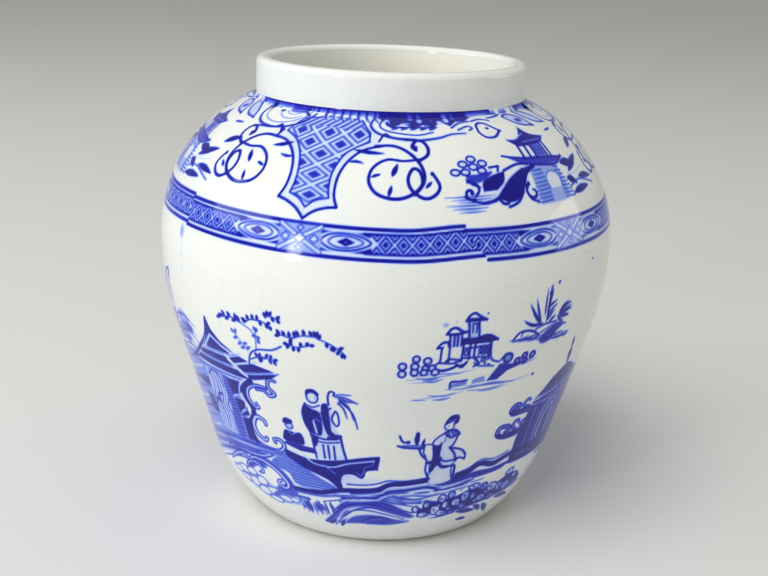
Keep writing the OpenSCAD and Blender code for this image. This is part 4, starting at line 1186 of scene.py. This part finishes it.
def skin_mesh(name, front, back, start, span, turn=PLAIN_TURN):
    """A thin curved shell: a strip of outline with a back, turned through span degrees in steps of turn."""
    bm = bmesh.new()
    ring = np.concatenate([front, back[::-1]]) * MM
    a = math.radians(start)
    corners = [bm.verts.new((r * math.sin(a), -r * math.cos(a), z)) for r, z in ring]
    edges = [bm.edges.new(pair) for pair in zip(corners, corners[1:] + corners[:1])]
    parts = max(1, round(span / 12))
    bmesh.ops.spin(bm, geom=edges, cent=(0, 0, 0), axis=(0, 0, 1), angle=math.radians(span / parts),
                   steps=round(span / parts / (turn * 1)))
    wedge = list(bm.faces)
    for i in range(1, parts):
        copy = bmesh.ops.duplicate(bm, geom=wedge)["geom"]
        turned = [v for v in copy if isinstance(v, bmesh.types.BMVert)]
        bmesh.ops.rotate(bm, verts=turned, matrix=Matrix.Rotation(math.radians(span / parts * i), 3, "Z"))
    bmesh.ops.remove_doubles(bm, verts=bm.verts, dist=2e-6)
    bmesh.ops.delete(bm, geom=[e for e in bm.edges if not e.link_faces], context="EDGES")
    if span < 360:
        bmesh.ops.holes_fill(bm, edges=[e for e in bm.edges if e.is_boundary])
    bmesh.ops.recalc_face_normals(bm, faces=bm.faces)
    mesh = bpy.data.meshes.new(name)
    bm.to_mesh(mesh)
    bm.free()
    mesh.polygons.foreach_set("use_smooth", [True] * len(mesh.polygons))
    mesh.set_sharp_from_angle(angle=math.radians(40))
    return mesh


def add_piece(name, mesh, material, slot, *nodes):
    piece = bpy.data.objects.new(name, mesh)
    bpy.context.scene.collection.objects.link(piece)
    mesh.materials.append(material)
    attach(piece, "root")
    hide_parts(*nodes)


def lay_ink(mesh, ink):
    """Gives a skin's vertices the tone of the print where they lie."""
    co = np.empty(len(mesh.vertices) * 3)
    mesh.vertices.foreach_get("co", co)
    x, y, z = co.reshape(-1, 3).T
    tone = ink.at(np.degrees(np.arctan2(x, -y)), z / MM)
    mesh.attributes.new("ink", "FLOAT", "POINT").data.foreach_set("value", tone.astype(np.float32))


def print_skin(ink, name, z0, z1, start, span, material, slot, node):
    """A printed piece between two heights, from start through span degrees."""
    front = stretch(OUTSIDE, z0, z1, PRINT_STEP)
    back = stretch(wall_line(BACK, 2), z0, z1, 2.5)
    mesh = skin_mesh(name, front, back, start, span, PRINT_TURN)
    lay_ink(mesh, ink)
    add_piece(name, mesh, material, slot, node)


def neck_outline(depth):
    """The neck's outside from the cove up and over the lip, moved into the wall by depth."""
    lip = LIP_ROUND - depth
    return np.concatenate([
        [[NECK_R - depth, z] for z in np.arange(COVE_Z, LIP_Z, 0.8)],
        arc(np.array([NECK_R - LIP_ROUND, LIP_Z]), lip, 0, math.pi / 2, 0.2),
        arc(np.array([MOUTH_R + LIP_ROUND, LIP_Z]), lip, math.pi / 2, math.pi, 0.2),
    ])


def inside_outline(depth):
    """The hollow, from the middle of the floor up to the lip, moved into the wall by depth."""
    t = WALL_T - depth
    z = FLOOR_Z - depth
    centre_z = FLOOR_Z + FLOOR_ROUND
    reach = TURN_R - WALL_T - FLOOR_ROUND
    centre = np.array([TURN_C[0] + math.sqrt(reach**2 - (centre_z - TURN_C[1]) ** 2), centre_z])
    touch = math.atan2(*(centre - TURN_C)[::-1])
    cove = cove_centre(SHOULDER_R, NECK_R)
    up = math.atan2(*(cove - SHOULDER_C)[::-1])
    return np.concatenate([
        [[r, z] for r in np.arange(0, centre[0], 3)],
        arc(centre, FLOOR_ROUND + depth, -math.pi / 2, touch, 1),
        arc(TURN_C, TURN_R - t, touch, -TAPER, 1.8),
        arc(BELLY_C, BELLY_R - t, -TAPER, 0, 1.8),
        arc(SHOULDER_C, SHOULDER_R - t, 0, up, 1.8),
        arc(cove, COVE + t, up + math.pi, math.pi, 0.5),
        [[MOUTH_R + depth, z] for z in np.linspace(COVE_Z, LIP_Z, 12)],
    ])


# ---------------------------------------------------------------- finishes

class Wire:
    """A shader value that can be added, multiplied and so on like a number."""

    def __init__(self, finish, socket):
        self.finish, self.socket = finish, socket

    def math(self, operation, *values):
        return self.finish.node("ShaderNodeMath", {"operation": operation}, dict(enumerate(values)))

    def __add__(self, other):
        return self.math("ADD", self, other)

    def __sub__(self, other):
        return self.math("SUBTRACT", self, other)

    def __rsub__(self, other):
        return self.math("SUBTRACT", other, self)

    def __mul__(self, other):
        return self.math("MULTIPLY", self, other)

    __radd__ = __add__
    __rmul__ = __mul__

    def over(self, low, high):
        """0 below low and 1 above high, rising smoothly between."""
        return self.finish.node("ShaderNodeMapRange", {"interpolation_type": "SMOOTHSTEP"},
                                {"Value": self, "From Min": low, "From Max": high})


class Finish:
    """A material and its nodes."""

    def __init__(self, name):
        self.material = bpy.data.materials.new(name)
        self.material.use_nodes = True
        self.tree = self.material.node_tree
        self.tree.nodes.clear()
        self.place = self.node("ShaderNodeTexCoord", out="Object")

    def node(self, kind, settings=None, inputs=None, out=0):
        n = self.tree.nodes.new(kind)
        for key, value in (settings or {}).items():
            if key == "stops":
                self.stops(n.color_ramp, value)
            else:
                setattr(n, key, value)
        for key, value in (inputs or {}).items():
            if isinstance(value, Wire):
                self.tree.links.new(value.socket, n.inputs[key])
            else:
                n.inputs[key].default_value = value
        return Wire(self, n.outputs[out]) if n.outputs else n

    @staticmethod
    def stops(ramp, stops):
        while len(ramp.elements) < len(stops):
            ramp.elements.new(1)
        for element, (at, colour) in zip(ramp.elements, stops):
            element.position = at
            element.color = (*colour, 1)

    def noise(self, scale, detail, roughness=0.5):
        return self.node("ShaderNodeTexNoise", None,
                         {"Vector": self.place, "Scale": scale, "Detail": detail, "Roughness": roughness})

    def mix(self, factor, a, b):
        return self.node("ShaderNodeMix", {"data_type": "RGBA"}, {0: factor, 6: self.colour(a), 7: self.colour(b)},
                         out=2)

    @staticmethod
    def colour(value):
        return value if isinstance(value, Wire) else (*value, 1)

    def bump(self, height, strength, distance):
        return self.node("ShaderNodeBump", None, {"Height": height, "Strength": strength, "Distance": distance})

    def surface(self, colour, roughness, normal, **constants):
        inputs = {"Base Color": colour, "Roughness": roughness, "Normal": normal}
        inputs.update({key.replace("_", " "): value for key, value in constants.items()})
        shader = self.node("ShaderNodeBsdfPrincipled", None, inputs)
        self.node("ShaderNodeOutputMaterial", None, {"Surface": shader})
        return self.material


WHITE = (0.80, 0.815, 0.78)
# the inside is the same white glaze, painted lighter than WHITE: painted light for the light that falls into the mouth
INSIDE_PAINTED_LIGHT_WHITE = (0.95, 0.945, 0.865)
# the ink's colour by its tone
BLUES = (
    (0.0, (0.72, 0.78, 0.90)), (0.14, (0.48, 0.57, 0.90)), (0.35, (0.13, 0.23, 0.78)), (0.62, (0.028, 0.045, 0.56)),
    (0.85, (0.007, 0.005, 0.34)), (1.0, (0.004, 0.001, 0.225)))


def glaze(name, white, printed=False):
    """Glossy lead-white glaze over white earthenware, with fine crazing, pinholes and, under it, the blue print."""
    f = Finish(name)
    broad = f.noise(14, 2)
    fine = f.noise(420, 3, 0.6)
    colour = f.mix(broad.over(0.35, 0.7), white, tuple(c * k for c, k in zip(white, (0.955, 0.97, 1.0))))
    bent = f.node("ShaderNodeMix", {"data_type": "VECTOR"}, {0: 0.004, 4: f.place, 5: f.node(
        "ShaderNodeTexNoise", None, {"Vector": f.place, "Scale": 90, "Detail": 1}, out="Color")}, out=1)
    cells = f.node("ShaderNodeTexVoronoi", {"feature": "DISTANCE_TO_EDGE"}, {"Vector": bent, "Scale": 95,
                                                                             "Randomness": 1})
    crazing = (1 - cells.over(0.0, 0.018)) * f.noise(30, 1).over(0.42, 0.62)
    colour = f.mix(crazing * 0.16, colour, (0.42, 0.43, 0.40))
    spot = f.node("ShaderNodeTexVoronoi", None, {"Vector": f.place, "Scale": 130})
    pinhole = (1 - spot.over(0.012, 0.03)) * f.noise(60, 0).over(0.6, 0.64)
    colour = f.mix(pinhole * 0.7, colour, (0.16, 0.19, 0.34))
    if printed:
        ink = f.node("ShaderNodeAttribute", {"attribute_name": "ink"}, out="Fac")
        grain = (fine - 0.5) * 0.34 + (f.noise(110, 2) - 0.5) * 0.22
        tone = ink + ink * (1.15 - ink) * grain
        blue = f.node("ShaderNodeValToRGB", {"stops": BLUES}, {"Fac": tone})
        colour = f.mix(tone.over(0.0, 0.13), colour, blue)
    ripple = f.bump(f.noise(46, 1) + f.noise(150, 1) * 0.25, 0.35, 0.0006)
    gloss = 0.07 + fine * 0.05 + crazing * 0.05
    return f.surface(colour, gloss, ripple, IOR=1.48, Specular_IOR_Level=0.34, Coat_Weight=0.06, Coat_Roughness=0.02)


def bare_clay(name):
    """The unglazed foot: cream earthenware worn grey where it stands."""
    f = Finish(name)
    grit = f.noise(1500, 4, 0.7)
    colour = f.mix(f.noise(180, 3).over(0.35, 0.7), (0.66, 0.60, 0.50), (0.50, 0.45, 0.37))
    colour = f.mix(f.noise(60, 3).over(0.5, 0.75) * 0.5, colour, (0.30, 0.27, 0.24))
    return f.surface(colour, 0.72 + grit * 0.2, f.bump(grit, 0.4, 0.0002), IOR=1.45)


# ---------------------------------------------------------------- the jar

SHOULDER_SEAM, SHOULDER_TURN = -50, 120
SCENE_SEAM, SCENE_TURN = -62, 180
SCENE_PARTS = 3


def build_jar():
    """The printed sheets, the plain glaze coats and, in their own shapes, the clay and the recess."""
    ink = draw_prints()
    print_glaze = glaze("printed glaze", WHITE, True)
    clear = glaze("plain glaze", WHITE)
    # the inside coat's lighter white is painted light, not a different glaze
    inner = glaze("inside glaze", INSIDE_PAINTED_LIGHT_WHITE)
    for i in range(3):
        print_skin(ink, f"shoulder_sheet_{i + 1}", BORDER_Z1, COVE_Z, SHOULDER_SEAM + SHOULDER_TURN * i, SHOULDER_TURN,
                   print_glaze, "shoulder_transfer", f"shoulder_print_{i + 1}")
    for i, (start, end, *_) in enumerate(STRIPS, 1):
        print_skin(ink, f"border_strip_{i}", BORDER_Z0, BORDER_Z1, start, end - start, print_glaze, "border_transfer",
                   f"border_print_{i}")
    span = SCENE_TURN // SCENE_PARTS
    for i in range(2 * SCENE_PARTS):
        sheet, part = i // SCENE_PARTS + 1, i % SCENE_PARTS + 1
        print_skin(ink, f"scene_sheet_{sheet}_part_{part}", PLAIN_Z, BORDER_Z0, SCENE_SEAM + span * i, span,
                   print_glaze,
                   "scene_transfer", f"scene_print_{sheet}")
    foot = stretch(OUTSIDE, BARE_Z, PLAIN_Z), stretch(wall_line(BACK, 1), BARE_Z, PLAIN_Z, 1)
    for name, (front, back), material, slot, node in (
            ("neck_and_lip_glaze", map(neck_outline, (0, BACK)), clear, "clear_glaze", "neck_glaze"),
            ("inside_glaze_coat", map(inside_outline, (0, BACK)), inner, "inside_glaze", "inside_glaze"),
            ("foot_glaze_band", foot, clear, "clear_glaze", "foot_glaze")):
        add_piece(name, skin_mesh(name, front, back, 0, 360), material, slot, node)
    for node, material in (("jar_body", bare_clay("bare clay")), ("base_glaze", clear)):
        slots = frame["nodes"][node].data.materials
        for i in range(len(slots)):
            slots[i] = material


build_jar()


# ---------------------------------------------------------------- floor, light and camera

FLOOR_HALF = 6
AIM = Vector((0, 0, 0.1))


def add_floor():
    bm = bmesh.new()
    bmesh.ops.create_grid(bm, x_segments=1, y_segments=1, size=FLOOR_HALF)
    mesh = bpy.data.meshes.new("floor")
    bm.to_mesh(mesh)
    bm.free()
    floor = bpy.data.objects.new("floor", mesh)
    bpy.context.scene.collection.objects.link(floor)
    f = Finish("pale floor")
    mesh.materials.append(f.surface((0.74, 0.74, 0.735, 1), 0.6, f.bump(f.noise(300, 2), 0.02, 0.0002), IOR=1.4))


def add_light(name, azimuth, height, distance, size, power, colour=(1, 1, 1), mirrored=True):
    """A soft rectangle of light, facing the jar; azimuth in degrees round from the front, rightwards."""
    light = bpy.data.lights.new(name, "AREA")
    light.shape = "RECTANGLE"
    light.size, light.size_y = size
    light.energy = power
    light.color = colour
    a, h = math.radians(azimuth), math.radians(height)
    at = Vector((math.sin(a) * math.cos(h), -math.cos(a) * math.cos(h), math.sin(h))) * distance + AIM
    lamp = bpy.data.objects.new(name, light)
    lamp.visible_glossy = mirrored
    lamp.location = at
    lamp.rotation_euler = (AIM - at).to_track_quat("-Z", "Y").to_euler()
    bpy.context.scene.collection.objects.link(lamp)


def add_world():
    world = bpy.data.worlds.new("studio")
    world.use_nodes = True
    world.node_tree.nodes["Background"].inputs["Color"].default_value = (0.92, 0.92, 0.88, 1)
    world.node_tree.nodes["Background"].inputs["Strength"].default_value = 0.42
    bpy.context.scene.world = world


def add_camera():
    """Looks down on the jar from the front; distances in mm and angles in radians."""
    target, distance, pitch, yaw, roll = Vector((0, 0, 71.79)), 378.1, 0.312, 0.002, 0.034
    ahead = Vector((math.sin(yaw) * math.cos(pitch), math.cos(yaw) * math.cos(pitch), -math.sin(pitch)))
    right = Vector((math.cos(yaw), -math.sin(yaw), 0))
    up = right.cross(ahead)
    right, up = math.cos(roll) * right + math.sin(roll) * up, math.cos(roll) * up - math.sin(roll) * right
    data = bpy.data.cameras.new("camera")
    data.sensor_width = 36
    data.lens = 51.56
    camera = bpy.data.objects.new("camera", data)
    camera.matrix_world = Matrix([right, up, -ahead]).transposed().to_4x4()
    camera.location = (target - ahead * distance) * MM
    bpy.context.scene.collection.objects.link(camera)
    bpy.context.scene.camera = camera


add_floor()
add_world()
add_light("window", -79, 22, 1.5, (0.88, 0.62), 5.6, (0.98, 0.99, 1.0))
add_light("window strip", -43, 9, 1.5, (0.17, 0.38), 3.4, (0.96, 0.98, 1.0))
add_light("far window", 101, 8, 1.5, (0.6, 0.5), 2, (1.0, 0.97, 0.92))
add_light("overhead", -32, 57, 1.8, (1.2, 1.2), 20.5, (1.0, 0.985, 0.95), mirrored=False)
add_camera()
bpy.context.scene.view_settings.view_transform = "Standard"
